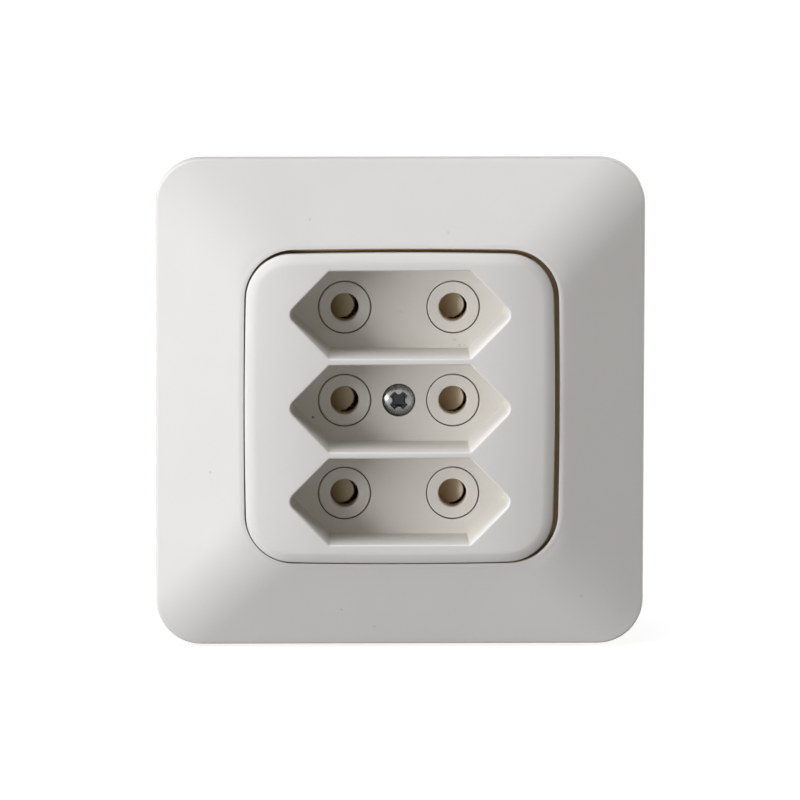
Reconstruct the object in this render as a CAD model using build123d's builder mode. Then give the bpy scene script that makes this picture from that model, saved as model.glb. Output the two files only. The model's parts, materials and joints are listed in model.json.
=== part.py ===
from build123d import *
import math
import os

os.makedirs("parts", exist_ok=True)

# Sizes are in millimetres. The front faces -Y, the wall plane is Y = 0 and +Z is up.
# A height counts from the wall plane towards the room, so a negative height lies inside the wall box.

# Cover frame
frame_side = 86.0
frame_corner_r = 8.0
frame_edge_height = 3.0
frame_lip_height = 8.6
frame_lip = 0.8
frame_hip_r = 30.0
frame_wall = 2.0
rim_wall = 1.8
ledge_width = 1.8
ledge_thickness = 1.5
rib_thickness = 1.2
rib_spacing = 40.0
rib_gap = 1.0
screw_notch_width = 10.0

# Centre plate
plate_side = 54.2
plate_corner_r = 8.0
plate_gap = 0.65
side_bow = 0.35
plate_seat = 5.0
plate_front = 10.6
plate_crown_r = 260.0
plate_edge = 1.2
plate_wall = 1.6
plate_face = 3.4
edge_angle = 45.0

# Plug recesses
recess_pitch = 16.5
recess_height = 15.6
recess_flat = 24.2
recess_turn = 45.0
recess_apex_r = 1.7
recess_blunt = 1.45
recess_draft = 2.6
recess_floor = 0.8
recess_wall = 1.75
floor_thickness = 1.6

# Pin holes and the collars round them
pin_spacing = 19.0
pin_hole_d = 4.95
collar_d = 9.0
collar_gap = 0.15

# Centre screw and its nut
screw_d = 3.0
screw_length = 16.0
screw_hole_d = 3.4
screw_head_d = 5.4
screw_head_height = 2.0
screw_head_edge = 0.7
screw_well_d = 5.85
screw_well_depth = 1.5
cross_width = 0.9
cross_length = 3.2
cross_depth = 1.3
cross_turn = 45.0
boss_d = 8.6
boss_height = 3.0
boss_gap = 0.3
nut_width = 5.5
nut_thickness = 2.4
nut_gap = 0.1
nut_height = -12.0
thread_gap = 0.05

# Support ring
ring_side = 71.0
ring_corner_r = 8.0
ring_thickness = 1.0
ring_margin_x = 2.3
ring_margin_z = 1.5
pocket_gap = 0.15
ring_opening_r = 9.0
box_screw_spacing = 60.0
box_slot_d = 3.6
box_slot_length = 5.8
rivet_offset = 4.9
rivet_z = 10.4
rivet_d = 2.5
rivet_head_d = 4.4
rivet_head_height = 0.9

# Moulded base and contact cover
base_width = 37.0
base_height = 48.6
base_corner_r = 4.0
cover_front = -1.0
base_front = -2.3
base_back = -25.0
lug_r = 3.2
lug_arm_width = 5.2
lug_depth = 6.0
contact_floor = -21.0
contact_chamber_width = 7.6
contact_chamber_height = 43.2

# Shutters and their springs
shutter_floor = -7.0
shutter_travel = 5.4
shutter_slack = 0.15
shutter_rail_inner = 4.0
shutter_rail_outer = 5.3
blade_spacing = 19.3
blade_back = 2.75
nose_r = 2.4
nose_reach = 1.7
ramp_drop = 2.2
ramp_margin = 0.3
chamber_slack = 0.3
post_x = -2.75
post_width = 1.5
spring_z = -2.9
spring_swing = 0.75
spring_strip = 0.25
spring_height = 3.0
spring_bends = 6

# Contacts and terminals
strip_thickness = 0.8
rail_half_width = 3.55
rail_length = 39.6
finger_width = 5.0
finger_thickness = 0.7
finger_tip = -8.6
finger_pinch = -12.2
finger_root = -17.2
pinch_half_gap = 1.75
mouth_half_gap = 2.65
terminal_inset = 2.3
terminal_z = -8.9
terminal_width = 6.0
terminal_height = 6.6
terminal_depth = 8.4
terminal_gap = 0.2
wire_hole_d = 3.0
wing_proud = 1.9
wing_wall = 0.8
wing_front = -10.0
terminal_screw_d = 2.6
terminal_head_d = 4.8
terminal_head_height = 1.6
slot_width = 0.8
slot_depth = 0.8
slot_turn = 30.0

# Spreading claws
claw_screw_offset = 3.4
claw_screw_length = 21.0
claw_screw_head_height = 1.8
claw_width = 8.4
claw_sheet = 1.2
claw_foot = -8.1
claw_pivot_offset = 1.9
claw_leg_offset = 6.6
claw_leg_end = -19.0
claw_slot_near = 1.6
claw_slot_far = 5.7
claw_tooth = 1.2
claw_teeth = 3
claw_ledge_gap = 0.4
claw_ledge_thickness = 1.5

# Worked-out sizes
opening_side = plate_side + 2 * plate_gap
opening_corner_r = plate_corner_r + plate_gap
slope = (frame_lip_height - frame_edge_height) / ((frame_side - opening_side) / 2)
row_places = {"top": recess_pitch, "middle": 0.0, "bottom": -recess_pitch}
sides = {"left": -1, "right": 1}
pin_x = pin_spacing / 2
collar_hole_d = collar_d + 2 * collar_gap
blade_top = base_front - shutter_slack
blade_bottom = shutter_floor + shutter_slack
screw_seat = recess_floor - screw_well_depth
rivet_x = base_width / 2 + rivet_offset
terminal_x = base_width / 2 - terminal_inset
wing_reach = base_width / 2 + wing_proud
strip_top = contact_floor + strip_thickness

# Backs of the plug recesses, which reach through the support ring beside the claw screws
draft = math.tan(math.radians(recess_draft))
recess_half = recess_height / 2
turn_rad = math.radians(recess_turn)
floor_inset = (plate_front - recess_floor) * draft
shell_half = recess_half - floor_inset + recess_wall
shell_flat = recess_flat / 2 + (recess_wall - floor_inset) * math.tan(turn_rad / 2)
shell_end = shell_flat + (shell_half - recess_blunt) / math.tan(turn_rad)
pocket_x = shell_end + pocket_gap
pocket_z = recess_pitch + shell_half + pocket_gap
ring_opening_width = 2 * max(base_width / 2 + ring_margin_x, pocket_x)
ring_opening_height = 2 * max(base_height / 2 + ring_margin_z, pocket_z)
claw_pivot_x = max(base_width / 2 + claw_pivot_offset, pocket_x + screw_head_d / 2 - claw_screw_offset)
claw_screw_x = claw_pivot_x + claw_screw_offset
claw_leg_x = claw_pivot_x + claw_leg_offset
claw_slot_start = claw_pivot_x + claw_slot_near
claw_slot_end = claw_pivot_x + claw_slot_far


def rounded_square(height, side, corner_r):
    """Straight-sided square with round corners, at a height in front of the wall."""
    with BuildSketch(Plane.XZ.offset(height)) as outline:
        RectangleRounded(side, side, corner_r)
    return outline.sketch


def bowed_square(height, side, corner_r):
    """Square with slightly bowed sides and round corners, at a height in front of the wall."""
    middle = side / 2
    corner = middle - side_bow
    with BuildSketch(Plane.XZ.offset(height)) as outline:
        with BuildLine():
            ThreePointArc((-corner, -corner), (0, -middle), (corner, -corner))
            ThreePointArc((corner, -corner), (middle, 0), (corner, corner))
            ThreePointArc((corner, corner), (0, middle), (-corner, corner))
            ThreePointArc((-corner, corner), (-middle, 0), (-corner, -corner))
        make_face()
        fillet(outline.vertices(), radius=corner_r)
    return outline.sketch


def section_plane(turn):
    """Plane square to the wall. Its x axis is +Z turned towards +X, and its y axis points to the room."""
    sine = math.sin(math.radians(turn))
    cosine = math.cos(math.radians(turn))
    return Plane(origin=(0, 0, 0), x_dir=(sine, 0, cosine), z_dir=(cosine, 0, -sine))


def slope_section(turn, low, half_low, high, half_high):
    """Section between two sloping faces, from a low height to a high one."""
    with BuildSketch(section_plane(turn)) as section:
        with BuildLine():
            Polyline(
                (-half_low, low),
                (half_low, low),
                (half_high, high),
                (-half_high, high),
                close=True,
            )
        make_face()
    return section.sketch


# Cover frame: a shell with four sloping faces, a rim round the opening, a ledge and back ribs
frame_base = frame_side / 2 + frame_edge_height / slope
frame_top = opening_side / 2 - frame_lip
frame_top_height = frame_lip_height + frame_lip * slope
slope_wall = frame_wall * math.sqrt(1 + slope**2)
hollow_side = frame_side - 2 * frame_wall
hollow_base = frame_base - slope_wall / slope
rim_side = opening_side + 2 * rim_wall
hollow_top = (hollow_base - rim_side / 2) * slope
rib_length = (hollow_side - rim_side) / 2

with BuildPart() as frame_hollow:
    extrude(slope_section(0, 0, hollow_base, hollow_top, rim_side / 2), amount=frame_side, both=True)
    extrude(
        slope_section(90, 0, hollow_base, hollow_top, rim_side / 2),
        amount=frame_side,
        both=True,
        mode=Mode.INTERSECT,
    )
    extrude(
        rounded_square(0, hollow_side, frame_corner_r - frame_wall),
        amount=hollow_top,
        mode=Mode.INTERSECT,
    )
    extrude(
        rounded_square(ring_thickness, rim_side, opening_corner_r + rim_wall),
        amount=hollow_top,
        mode=Mode.SUBTRACT,
    )
    with BuildSketch(Plane.XZ.offset(ring_thickness + rib_gap)):
        with PolarLocations((rim_side + rib_length) / 2, 4):
            with Locations((0, -rib_spacing / 2), (0, rib_spacing / 2)):
                Rectangle(rib_length, rib_thickness)
    extrude(amount=hollow_top, mode=Mode.SUBTRACT)

with BuildPart() as cover_frame:
    extrude(slope_section(0, 0, frame_base, frame_top_height, frame_top), amount=frame_side, both=True)
    extrude(
        slope_section(90, 0, frame_base, frame_top_height, frame_top),
        amount=frame_side,
        both=True,
        mode=Mode.INTERSECT,
    )
    hips = cover_frame.edges().filter_by(lambda e: abs(e.tangent_at(0.5).Y) > slope / 2)
    fillet(hips, radius=frame_hip_r)
    extrude(
        rounded_square(0, frame_side, frame_corner_r),
        amount=frame_top_height,
        mode=Mode.INTERSECT,
    )
    add(frame_hollow.part, mode=Mode.SUBTRACT)
    extrude(
        rounded_square(0, rim_side, opening_corner_r + rim_wall),
        amount=ring_thickness,
        mode=Mode.SUBTRACT,
    )
    extrude(
        bowed_square(plate_seat, opening_side, opening_corner_r),
        amount=frame_top_height,
        mode=Mode.SUBTRACT,
    )
    extrude(
        bowed_square(frame_lip_height - frame_lip, opening_side, opening_corner_r),
        amount=2 * frame_lip,
        taper=-edge_angle,
        mode=Mode.SUBTRACT,
    )
    extrude(
        bowed_square(0, opening_side, opening_corner_r),
        amount=plate_seat - ledge_thickness,
        mode=Mode.SUBTRACT,
    )
    extrude(
        bowed_square(0, opening_side - 2 * ledge_width, opening_corner_r - ledge_width),
        amount=plate_seat,
        mode=Mode.SUBTRACT,
    )
    with BuildSketch(Plane.XZ.offset(ring_thickness)):
        Rectangle(rim_side + rib_thickness, screw_notch_width)
        Rectangle(screw_notch_width, rim_side + rib_thickness)
    extrude(amount=plate_seat - ledge_thickness - ring_thickness, mode=Mode.SUBTRACT)
cover_frame.part.label = "cover_frame"
export_step(cover_frame.part, "parts/cover_frame.step")

# Centre plate: crowned face with a skirt, three drafted pockets, collar holes and the screw boss
cavity_top = plate_front - plate_face
floor_back = recess_floor - floor_thickness
edge_drop = (plate_side / 2) ** 2 / (2 * plate_crown_r)
bevel_start = plate_front - edge_drop - plate_edge
recess_slant = recess_flat / 2 * math.sin(turn_rad) + recess_half * math.cos(turn_rad)
mouth = plate_front + plate_edge
mouth_growth = plate_edge * draft

with BuildPart() as recess:
    for turn, half in ((0, recess_half), (-recess_turn, recess_slant), (recess_turn, recess_slant)):
        extrude(
            slope_section(turn, recess_floor, half - floor_inset, mouth, half + mouth_growth),
            amount=plate_side,
            both=True,
            mode=Mode.INTERSECT if turn else Mode.ADD,
        )
    ends = recess.edges().sort_by(Axis.X)
    fillet([ends[0], ends[-1]], radius=recess_apex_r)

with BuildPart() as centre_plate:
    extrude(bowed_square(plate_seat, plate_side, plate_corner_r), amount=bevel_start - plate_seat)
    bevel_face = centre_plate.faces().sort_by(Axis.Y)[0]
    extrude(bevel_face, amount=plate_front - bevel_start, taper=edge_angle)
    with Locations((0, plate_crown_r - plate_front, 0)):
        Sphere(plate_crown_r, mode=Mode.INTERSECT)
    extrude(
        bowed_square(plate_seat, plate_side - 2 * plate_wall, plate_corner_r - plate_wall),
        amount=cavity_top - plate_seat,
        mode=Mode.SUBTRACT,
    )
    with BuildSketch(Plane.XZ.offset(floor_back)):
        with GridLocations(1, recess_pitch, 1, 3):
            Polygon(
                (-shell_flat, shell_half),
                (shell_flat, shell_half),
                (shell_end, recess_blunt),
                (shell_end, -recess_blunt),
                (shell_flat, -shell_half),
                (-shell_flat, -shell_half),
                (-shell_end, -recess_blunt),
                (-shell_end, recess_blunt),
            )
    extrude(amount=cavity_top - floor_back)
    with Locations(*[(0, 0, row) for row in row_places.values()]):
        add(recess.part, mode=Mode.SUBTRACT)
    with BuildSketch(Plane.XZ.offset(recess_floor - boss_height)):
        Circle(boss_d / 2)
    extrude(amount=floor_thickness)
    with BuildSketch(Plane.XZ.offset(recess_floor - boss_height)):
        Circle(screw_hole_d / 2)
    extrude(amount=boss_height, mode=Mode.SUBTRACT)
    with BuildSketch(Plane.XZ.offset(screw_seat)):
        Circle(screw_well_d / 2)
    extrude(amount=screw_well_depth, mode=Mode.SUBTRACT)
    with BuildSketch(Plane.XZ.offset(floor_back)):
        with GridLocations(pin_spacing, recess_pitch, 2, 3):
            Circle(collar_hole_d / 2)
    extrude(amount=floor_thickness, mode=Mode.SUBTRACT)
centre_plate.part.label = "centre_plate"
export_step(centre_plate.part, "parts/centre_plate.step")

# Centre screw with a cross recess turned to a diagonal
with BuildPart() as centre_screw:
    with BuildSketch(Plane.XZ.offset(screw_seat)):
        Circle(screw_head_d / 2)
    extrude(amount=screw_head_height)
    chamfer(centre_screw.edges().sort_by(Axis.Y)[0], length=screw_head_edge)
    with BuildSketch(Plane.XZ.offset(screw_seat - screw_length)):
        Circle(screw_d / 2)
    extrude(amount=screw_length)
    with BuildSketch(Plane.XZ.offset(screw_seat + screw_head_height - cross_depth)):
        Rectangle(cross_length, cross_width, rotation=cross_turn)
        Rectangle(cross_width, cross_length, rotation=cross_turn)
    extrude(amount=cross_depth, mode=Mode.SUBTRACT)
centre_screw.part.label = "centre_screw"
export_step(centre_screw.part, "parts/centre_screw.step")

with BuildPart() as centre_nut:
    with BuildSketch(Plane.XZ.offset(nut_height - nut_thickness)):
        RegularPolygon(nut_width / 2, 6, major_radius=False)
        Circle(screw_d / 2 + thread_gap, mode=Mode.SUBTRACT)
    extrude(amount=nut_thickness)
centre_nut.part.label = "centre_nut"
export_step(centre_nut.part, "parts/centre_nut.step")

# Support ring: a stamped steel square with slots for the box screws on all four sides
rivet_places = [(-rivet_x, rivet_z), (rivet_x, -rivet_z)]

with BuildPart() as support_ring:
    with BuildSketch(Plane.XZ):
        RectangleRounded(ring_side, ring_side, ring_corner_r)
        RectangleRounded(ring_opening_width, ring_opening_height, ring_opening_r, mode=Mode.SUBTRACT)
        with GridLocations(box_screw_spacing, 1, 2, 1):
            SlotOverall(box_slot_length, box_slot_d, mode=Mode.SUBTRACT)
        with GridLocations(1, box_screw_spacing, 1, 2):
            SlotOverall(box_slot_length, box_slot_d, mode=Mode.SUBTRACT)
        with GridLocations(2 * claw_screw_x, 1, 2, 1):
            Circle(screw_hole_d / 2, mode=Mode.SUBTRACT)
        with Locations(*rivet_places):
            Circle(rivet_d / 2 + thread_gap, mode=Mode.SUBTRACT)
    extrude(amount=ring_thickness)
support_ring.part.label = "support_ring"
export_step(support_ring.part, "parts/support_ring.step")

# Rivets through the ring and the lugs of the base
with BuildPart() as ring_rivets:
    with BuildSketch(Plane.XZ.offset(-lug_depth)):
        with Locations(*rivet_places):
            Circle(rivet_d / 2)
    extrude(amount=lug_depth + ring_thickness)
    with BuildSketch(Plane.XZ.offset(ring_thickness)):
        with Locations(*rivet_places):
            Circle(rivet_head_d / 2)
    extrude(amount=rivet_head_height)
    with BuildSketch(Plane.XZ.offset(-lug_depth)):
        with Locations(*rivet_places):
            Circle(rivet_head_d / 2)
    extrude(amount=-rivet_head_height)
ring_rivets.part.label = "ring_rivets"
export_step(ring_rivets.part, "parts/ring_rivets.step")

# Contact cover: an insulating plate with six collars that fill the holes of the plate above
with BuildPart() as contact_cover:
    with BuildSketch(Plane.XZ.offset(base_front)):
        RectangleRounded(base_width, base_height, base_corner_r)
    extrude(amount=cover_front - base_front)
    with BuildSketch(Plane.XZ.offset(cover_front)):
        with GridLocations(pin_spacing, recess_pitch, 2, 3):
            Circle(collar_d / 2)
    extrude(amount=recess_floor - cover_front)
    with BuildSketch(Plane.XZ.offset(base_front)):
        with GridLocations(pin_spacing, recess_pitch, 2, 3):
            Circle(pin_hole_d / 2)
        Circle(boss_d / 2 + boss_gap)
    extrude(amount=recess_floor - base_front, mode=Mode.SUBTRACT)
contact_cover.part.label = "contact_cover"
export_step(contact_cover.part, "parts/contact_cover.step")

# Shutters: each slider carries two blades on two rails, and a pin that presses on a ramp moves it right
blade_x = blade_spacing / 2
nose_centre = nose_reach - nose_r
rail_start = -blade_x - blade_back
rail_end = blade_x + nose_centre

for row_name, row in row_places.items():
    with BuildPart() as shutter:
        with BuildSketch(Plane.XZ.offset(blade_bottom)):
            for middle in (-blade_x, blade_x):
                with Locations((middle + nose_centre, row)):
                    Circle(nose_r)
                with Locations((middle + (nose_centre - blade_back) / 2, row)):
                    Rectangle(nose_centre + blade_back, 2 * shutter_rail_outer)
            for rail_side in (-1, 1):
                rail_z = rail_side * (shutter_rail_inner + shutter_rail_outer) / 2
                with Locations(((rail_start + rail_end) / 2, row + rail_z)):
                    Rectangle(rail_end - rail_start, shutter_rail_outer - shutter_rail_inner)
        extrude(amount=blade_top - blade_bottom)
        with BuildSketch(section_plane(90).offset(-row)):
            for middle in (-blade_x, blade_x):
                with BuildLine():
                    Polyline(
                        (middle - blade_back, blade_top),
                        (middle - blade_back, blade_top - ramp_drop),
                        (middle + nose_reach, blade_top),
                        close=True,
                    )
                make_face()
        extrude(amount=pin_hole_d / 2 + ramp_margin, both=True, mode=Mode.SUBTRACT)
    shutter.part.label = f"shutter_{row_name}"
    export_step(shutter.part, f"parts/shutter_{row_name}.step")

    # Spring strip, folded to and fro between a post of the base and the right blade, which it pulls back
    spring_start = post_x + post_width / 2 + spring_strip
    spring_end = blade_x - blade_back - spring_strip
    fold = (spring_end - spring_start) / spring_bends
    folds = [
        (spring_start + n * fold, row + spring_z + spring_swing * (-1) ** n)
        for n in range(spring_bends + 1)
    ]
    with BuildPart() as shutter_spring:
        with BuildSketch(Plane.XZ.offset((blade_top + blade_bottom - spring_height) / 2)):
            with BuildLine():
                Polyline(*folds)
            trace(line_width=spring_strip)
        extrude(amount=spring_height)
    shutter_spring.part.label = f"shutter_spring_{row_name}"
    export_step(shutter_spring.part, f"parts/shutter_spring_{row_name}.step")

# Base: a block with shutter chambers, contact chambers, terminal bays, lugs for the rivets and claw ledges
chamber_left = rail_start - chamber_slack
chamber_right = blade_x + nose_reach + shutter_travel + chamber_slack
bay_height = terminal_height + 2 * terminal_gap
bay_front = strip_top + terminal_depth + terminal_gap
claw_ledge_back = claw_foot + claw_sheet / 2 + claw_ledge_gap

with BuildPart() as socket_base:
    with BuildSketch(Plane.XZ.offset(base_back)):
        RectangleRounded(base_width, base_height, base_corner_r)
    extrude(amount=base_front - base_back)
    with BuildSketch(Plane.XZ.offset(base_back)):
        with Locations((0, terminal_z)):
            Rectangle(2 * wing_reach, bay_height + 2 * wing_wall)
    extrude(amount=wing_front - base_back)
    with BuildSketch(Plane.XZ.offset(-lug_depth)):
        for lug_x, lug_z in rivet_places:
            with Locations((lug_x / 2, lug_z)):
                Rectangle(rivet_x, lug_arm_width)
    extrude(amount=base_front + lug_depth)
    with BuildSketch(Plane.XZ.offset(-lug_depth)):
        with Locations(*rivet_places):
            Circle(lug_r)
    extrude(amount=lug_depth)
    with BuildSketch(Plane.XZ.offset(claw_ledge_back)):
        Rectangle(2 * (claw_pivot_x + claw_ledge_thickness / 2), claw_width)
    extrude(amount=claw_ledge_thickness)
    with BuildSketch(Plane.XZ.offset(shutter_floor)):
        for row in row_places.values():
            with Locations(((chamber_left + chamber_right) / 2, row)):
                Rectangle(chamber_right - chamber_left, 2 * (shutter_rail_outer + shutter_slack))
    extrude(amount=base_front - shutter_floor, mode=Mode.SUBTRACT)
    with BuildSketch(Plane.XZ.offset(contact_floor)):
        with GridLocations(pin_spacing, 1, 2, 1):
            Rectangle(contact_chamber_width, contact_chamber_height)
    extrude(amount=base_front - contact_floor, mode=Mode.SUBTRACT)
    with BuildSketch(Plane.XZ.offset(contact_floor)):
        for side in sides.values():
            with Locations((side * (pin_x + wing_reach) / 2, terminal_z)):
                Rectangle(wing_reach - pin_x + 2 * terminal_gap, bay_height)
    extrude(amount=bay_front - contact_floor, mode=Mode.SUBTRACT)
    with BuildSketch(Plane.XZ.offset(base_back)):
        with Locations((-terminal_x, terminal_z), (terminal_x, terminal_z)):
            Circle(wire_hole_d / 2 + terminal_gap)
    extrude(amount=contact_floor - base_back, mode=Mode.SUBTRACT)
    with BuildSketch(Plane.XZ.offset(base_back)):
        RegularPolygon(nut_width / 2 + nut_gap, 6, major_radius=False)
    extrude(amount=nut_height - base_back, mode=Mode.SUBTRACT)
    with BuildSketch(Plane.XZ.offset(nut_height)):
        Circle(screw_hole_d / 2)
    extrude(amount=shutter_floor - nut_height, mode=Mode.SUBTRACT)
    with BuildSketch(Plane.XZ.offset(-lug_depth)):
        with Locations(*rivet_places):
            Circle(rivet_d / 2 + thread_gap)
    extrude(amount=lug_depth, mode=Mode.SUBTRACT)
    with BuildSketch(Plane.XZ.offset(shutter_floor)):
        for row in row_places.values():
            with Locations((post_x, row + spring_z)):
                Rectangle(post_width, 2 * spring_swing)
    extrude(amount=blade_top - shutter_slack - shutter_floor)
socket_base.part.label = "socket_base"
export_step(socket_base.part, "parts/socket_base.step")

for side_name, side in sides.items():
    # Contact rail: a brass strip with three pairs of sprung fingers and a tab under the terminal
    rail_x = side * pin_x
    finger = [
        (rail_half_width, contact_floor),
        (rail_half_width, finger_root),
        (pinch_half_gap + finger_thickness, finger_pinch),
        (mouth_half_gap + finger_thickness, finger_tip),
        (mouth_half_gap, finger_tip),
        (pinch_half_gap, finger_pinch),
        (rail_half_width - finger_thickness, finger_root),
        (rail_half_width - finger_thickness, contact_floor),
    ]
    tab_start = pin_x + rail_half_width - finger_thickness
    tab_end = terminal_x + terminal_width / 2
    with BuildPart() as contact_rail:
        with BuildSketch(Plane.XZ.offset(contact_floor)):
            with Locations((rail_x, 0)):
                Rectangle(2 * rail_half_width, rail_length)
            with Locations((side * (tab_start + tab_end) / 2, terminal_z)):
                Rectangle(tab_end - tab_start, terminal_height)
            with Locations((side * terminal_x, terminal_z)):
                Circle(wire_hole_d / 2 + terminal_gap, mode=Mode.SUBTRACT)
        extrude(amount=strip_thickness)
        for row in row_places.values():
            with BuildSketch(Plane.XY.offset(row - finger_width / 2)):
                for hand in (-1, 1):
                    with BuildLine():
                        Polyline(*[(rail_x + hand * x, -h) for x, h in finger], close=True)
                    make_face()
            extrude(amount=finger_width)
    contact_rail.part.label = f"contact_rail_{side_name}"
    export_step(contact_rail.part, f"parts/contact_rail_{side_name}.step")

    # Terminal block: a drilled brass block, the wire enters from behind and the screw from the side
    with BuildPart() as terminal_block:
        with BuildSketch(Plane.XZ.offset(strip_top)):
            with Locations((side * terminal_x, terminal_z)):
                Rectangle(terminal_width, terminal_height)
                Circle(wire_hole_d / 2, mode=Mode.SUBTRACT)
        extrude(amount=terminal_depth)
        with BuildSketch(Plane.YZ.offset(side * terminal_x)):
            with Locations((-strip_top - terminal_depth / 2, terminal_z)):
                Circle(terminal_screw_d / 2 + thread_gap)
        extrude(amount=side * terminal_width, mode=Mode.SUBTRACT)
    terminal_block.part.label = f"terminal_block_{side_name}"
    export_step(terminal_block.part, f"parts/terminal_block_{side_name}.step")

    # Claw: a bent steel strip on its screw, with teeth at the rear end
    half_sheet = claw_sheet / 2
    tooth_pitch = claw_width / claw_teeth
    with BuildPart() as claw:
        with BuildSketch(Plane.XY.offset(-claw_width / 2)):
            with BuildLine():
                Polyline(
                    (side * (claw_pivot_x - half_sheet), -claw_foot - half_sheet),
                    (side * (claw_leg_x + half_sheet), -claw_foot - half_sheet),
                    (side * (claw_leg_x + half_sheet), -claw_leg_end),
                    (side * (claw_leg_x - half_sheet), -claw_leg_end),
                    (side * (claw_leg_x - half_sheet), -claw_foot + half_sheet),
                    (side * (claw_pivot_x - half_sheet), -claw_foot + half_sheet),
                    close=True,
                )
            make_face()
        extrude(amount=claw_width)
        with BuildSketch(Plane.XZ.offset(claw_foot - half_sheet)):
            with Locations((side * (claw_slot_start + claw_slot_end) / 2, 0)):
                SlotOverall(claw_slot_end - claw_slot_start, screw_hole_d)
        extrude(amount=claw_sheet, mode=Mode.SUBTRACT)
        with BuildSketch(Plane.XZ.offset(claw_leg_end)):
            for n in range(claw_teeth):
                low = -claw_width / 2 + n * tooth_pitch
                with BuildLine():
                    Polyline(
                        (side * claw_leg_x, low),
                        (side * (claw_leg_x + half_sheet), low),
                        (side * (claw_leg_x + half_sheet + claw_tooth), low + tooth_pitch / 2),
                        (side * (claw_leg_x + half_sheet), low + tooth_pitch),
                        (side * claw_leg_x, low + tooth_pitch),
                        close=True,
                    )
                make_face()
        extrude(amount=claw_sheet)
    claw.part.label = f"claw_{side_name}"
    export_step(claw.part, f"parts/claw_{side_name}.step")

# Terminal screws, one from each side
with BuildPart() as terminal_screws:
    screw_y = -strip_top - terminal_depth / 2
    shank_start = terminal_x + wire_hole_d / 2
    head_start = terminal_x + terminal_width / 2 + terminal_gap
    for side in sides.values():
        with BuildSketch(Plane.YZ.offset(side * shank_start)):
            with Locations((screw_y, terminal_z)):
                Circle(terminal_screw_d / 2)
        extrude(amount=side * (head_start - shank_start))
        with BuildSketch(Plane.YZ.offset(side * head_start)):
            with Locations((screw_y, terminal_z)):
                Circle(terminal_head_d / 2)
        extrude(amount=side * terminal_head_height)
        with BuildSketch(Plane.YZ.offset(side * (head_start + terminal_head_height - slot_depth))):
            with Locations((screw_y, terminal_z)):
                Rectangle(terminal_head_d, slot_width, rotation=slot_turn)
        extrude(amount=side * slot_depth, mode=Mode.SUBTRACT)
terminal_screws.part.label = "terminal_screws"
export_step(terminal_screws.part, "parts/terminal_screws.step")

# Claw screws, with their heads on the front of the support ring
claw_screw_places = [(-claw_screw_x, 0), (claw_screw_x, 0)]

with BuildPart() as claw_screws:
    with BuildSketch(Plane.XZ.offset(ring_thickness - claw_screw_length)):
        with Locations(*claw_screw_places):
            Circle(screw_d / 2)
    extrude(amount=claw_screw_length)
    with BuildSketch(Plane.XZ.offset(ring_thickness)):
        with Locations(*claw_screw_places):
            Circle(screw_head_d / 2)
    extrude(amount=claw_screw_head_height)
    with BuildSketch(Plane.XZ.offset(ring_thickness + claw_screw_head_height - slot_depth)):
        with Locations(*claw_screw_places):
            Rectangle(screw_head_d, slot_width)
    extrude(amount=slot_depth, mode=Mode.SUBTRACT)
claw_screws.part.label = "claw_screws"
export_step(claw_screws.part, "parts/claw_screws.step")
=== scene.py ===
"""Looks of a flush-mount wall socket: mouldings, finishes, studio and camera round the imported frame."""

import json
import logging
import math
from dataclasses import dataclass, field
from enum import Enum
from typing import Callable, Optional, Union

import bmesh
import bpy
import numpy as np
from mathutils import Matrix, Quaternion, Vector
from mathutils.geometry import delaunay_2d_cdt


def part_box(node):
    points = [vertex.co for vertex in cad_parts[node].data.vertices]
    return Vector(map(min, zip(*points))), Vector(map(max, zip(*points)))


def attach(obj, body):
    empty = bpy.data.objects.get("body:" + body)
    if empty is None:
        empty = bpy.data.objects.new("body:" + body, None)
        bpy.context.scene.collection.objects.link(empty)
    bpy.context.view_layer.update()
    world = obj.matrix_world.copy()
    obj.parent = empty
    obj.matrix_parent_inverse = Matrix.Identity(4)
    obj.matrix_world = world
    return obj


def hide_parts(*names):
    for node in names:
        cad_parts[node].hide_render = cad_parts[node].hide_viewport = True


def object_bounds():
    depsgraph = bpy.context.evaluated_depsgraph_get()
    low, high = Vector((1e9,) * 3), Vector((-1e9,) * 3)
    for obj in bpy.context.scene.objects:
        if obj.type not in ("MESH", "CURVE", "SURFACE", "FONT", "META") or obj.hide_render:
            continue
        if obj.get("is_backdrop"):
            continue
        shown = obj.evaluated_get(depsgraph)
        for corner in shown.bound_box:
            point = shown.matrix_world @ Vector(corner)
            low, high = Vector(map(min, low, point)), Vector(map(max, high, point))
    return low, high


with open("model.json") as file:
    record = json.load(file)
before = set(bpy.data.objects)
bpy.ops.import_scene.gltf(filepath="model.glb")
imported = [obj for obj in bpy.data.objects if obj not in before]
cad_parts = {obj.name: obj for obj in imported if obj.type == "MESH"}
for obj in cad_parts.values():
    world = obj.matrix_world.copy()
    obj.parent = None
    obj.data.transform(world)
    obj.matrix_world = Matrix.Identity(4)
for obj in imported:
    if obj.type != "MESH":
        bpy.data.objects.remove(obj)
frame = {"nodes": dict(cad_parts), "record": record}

LOG = logging.getLogger("socket")
MM = 0.001
HOUSING_BODY = "socket"
# Heights of the three recesses on the plate, and the names of their shutters
ROWS = (16.5, 0.0, -16.5)
ROW_NAMES = ("top", "middle", "bottom")
# Turn past which an edge stays sharp, and distance within which points merge
SHARP_DEG = 38.0
MERGE_MM = 0.0004
# Height between rings that would merge otherwise
APART_MM = 2 * MERGE_MM
# Rounds in which the corner of a bowed outline settles
SETTLE_ROUNDS = 20
# How far the corner between two sides at 45 degrees moves along a side when both move out by 1
CORNER_SHIFT = math.tan(math.pi / 8)
# Bend of the plan for the triangulation, its tolerance, and its choice of triangles inside the loops
BEND = 2e-5
TRIANGLE_TOLERANCE = 1e-7
TRIANGLES_INSIDE = 1
# Distance of the lamps from the object, in metres
LAMP_DISTANCE = 3.0
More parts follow.
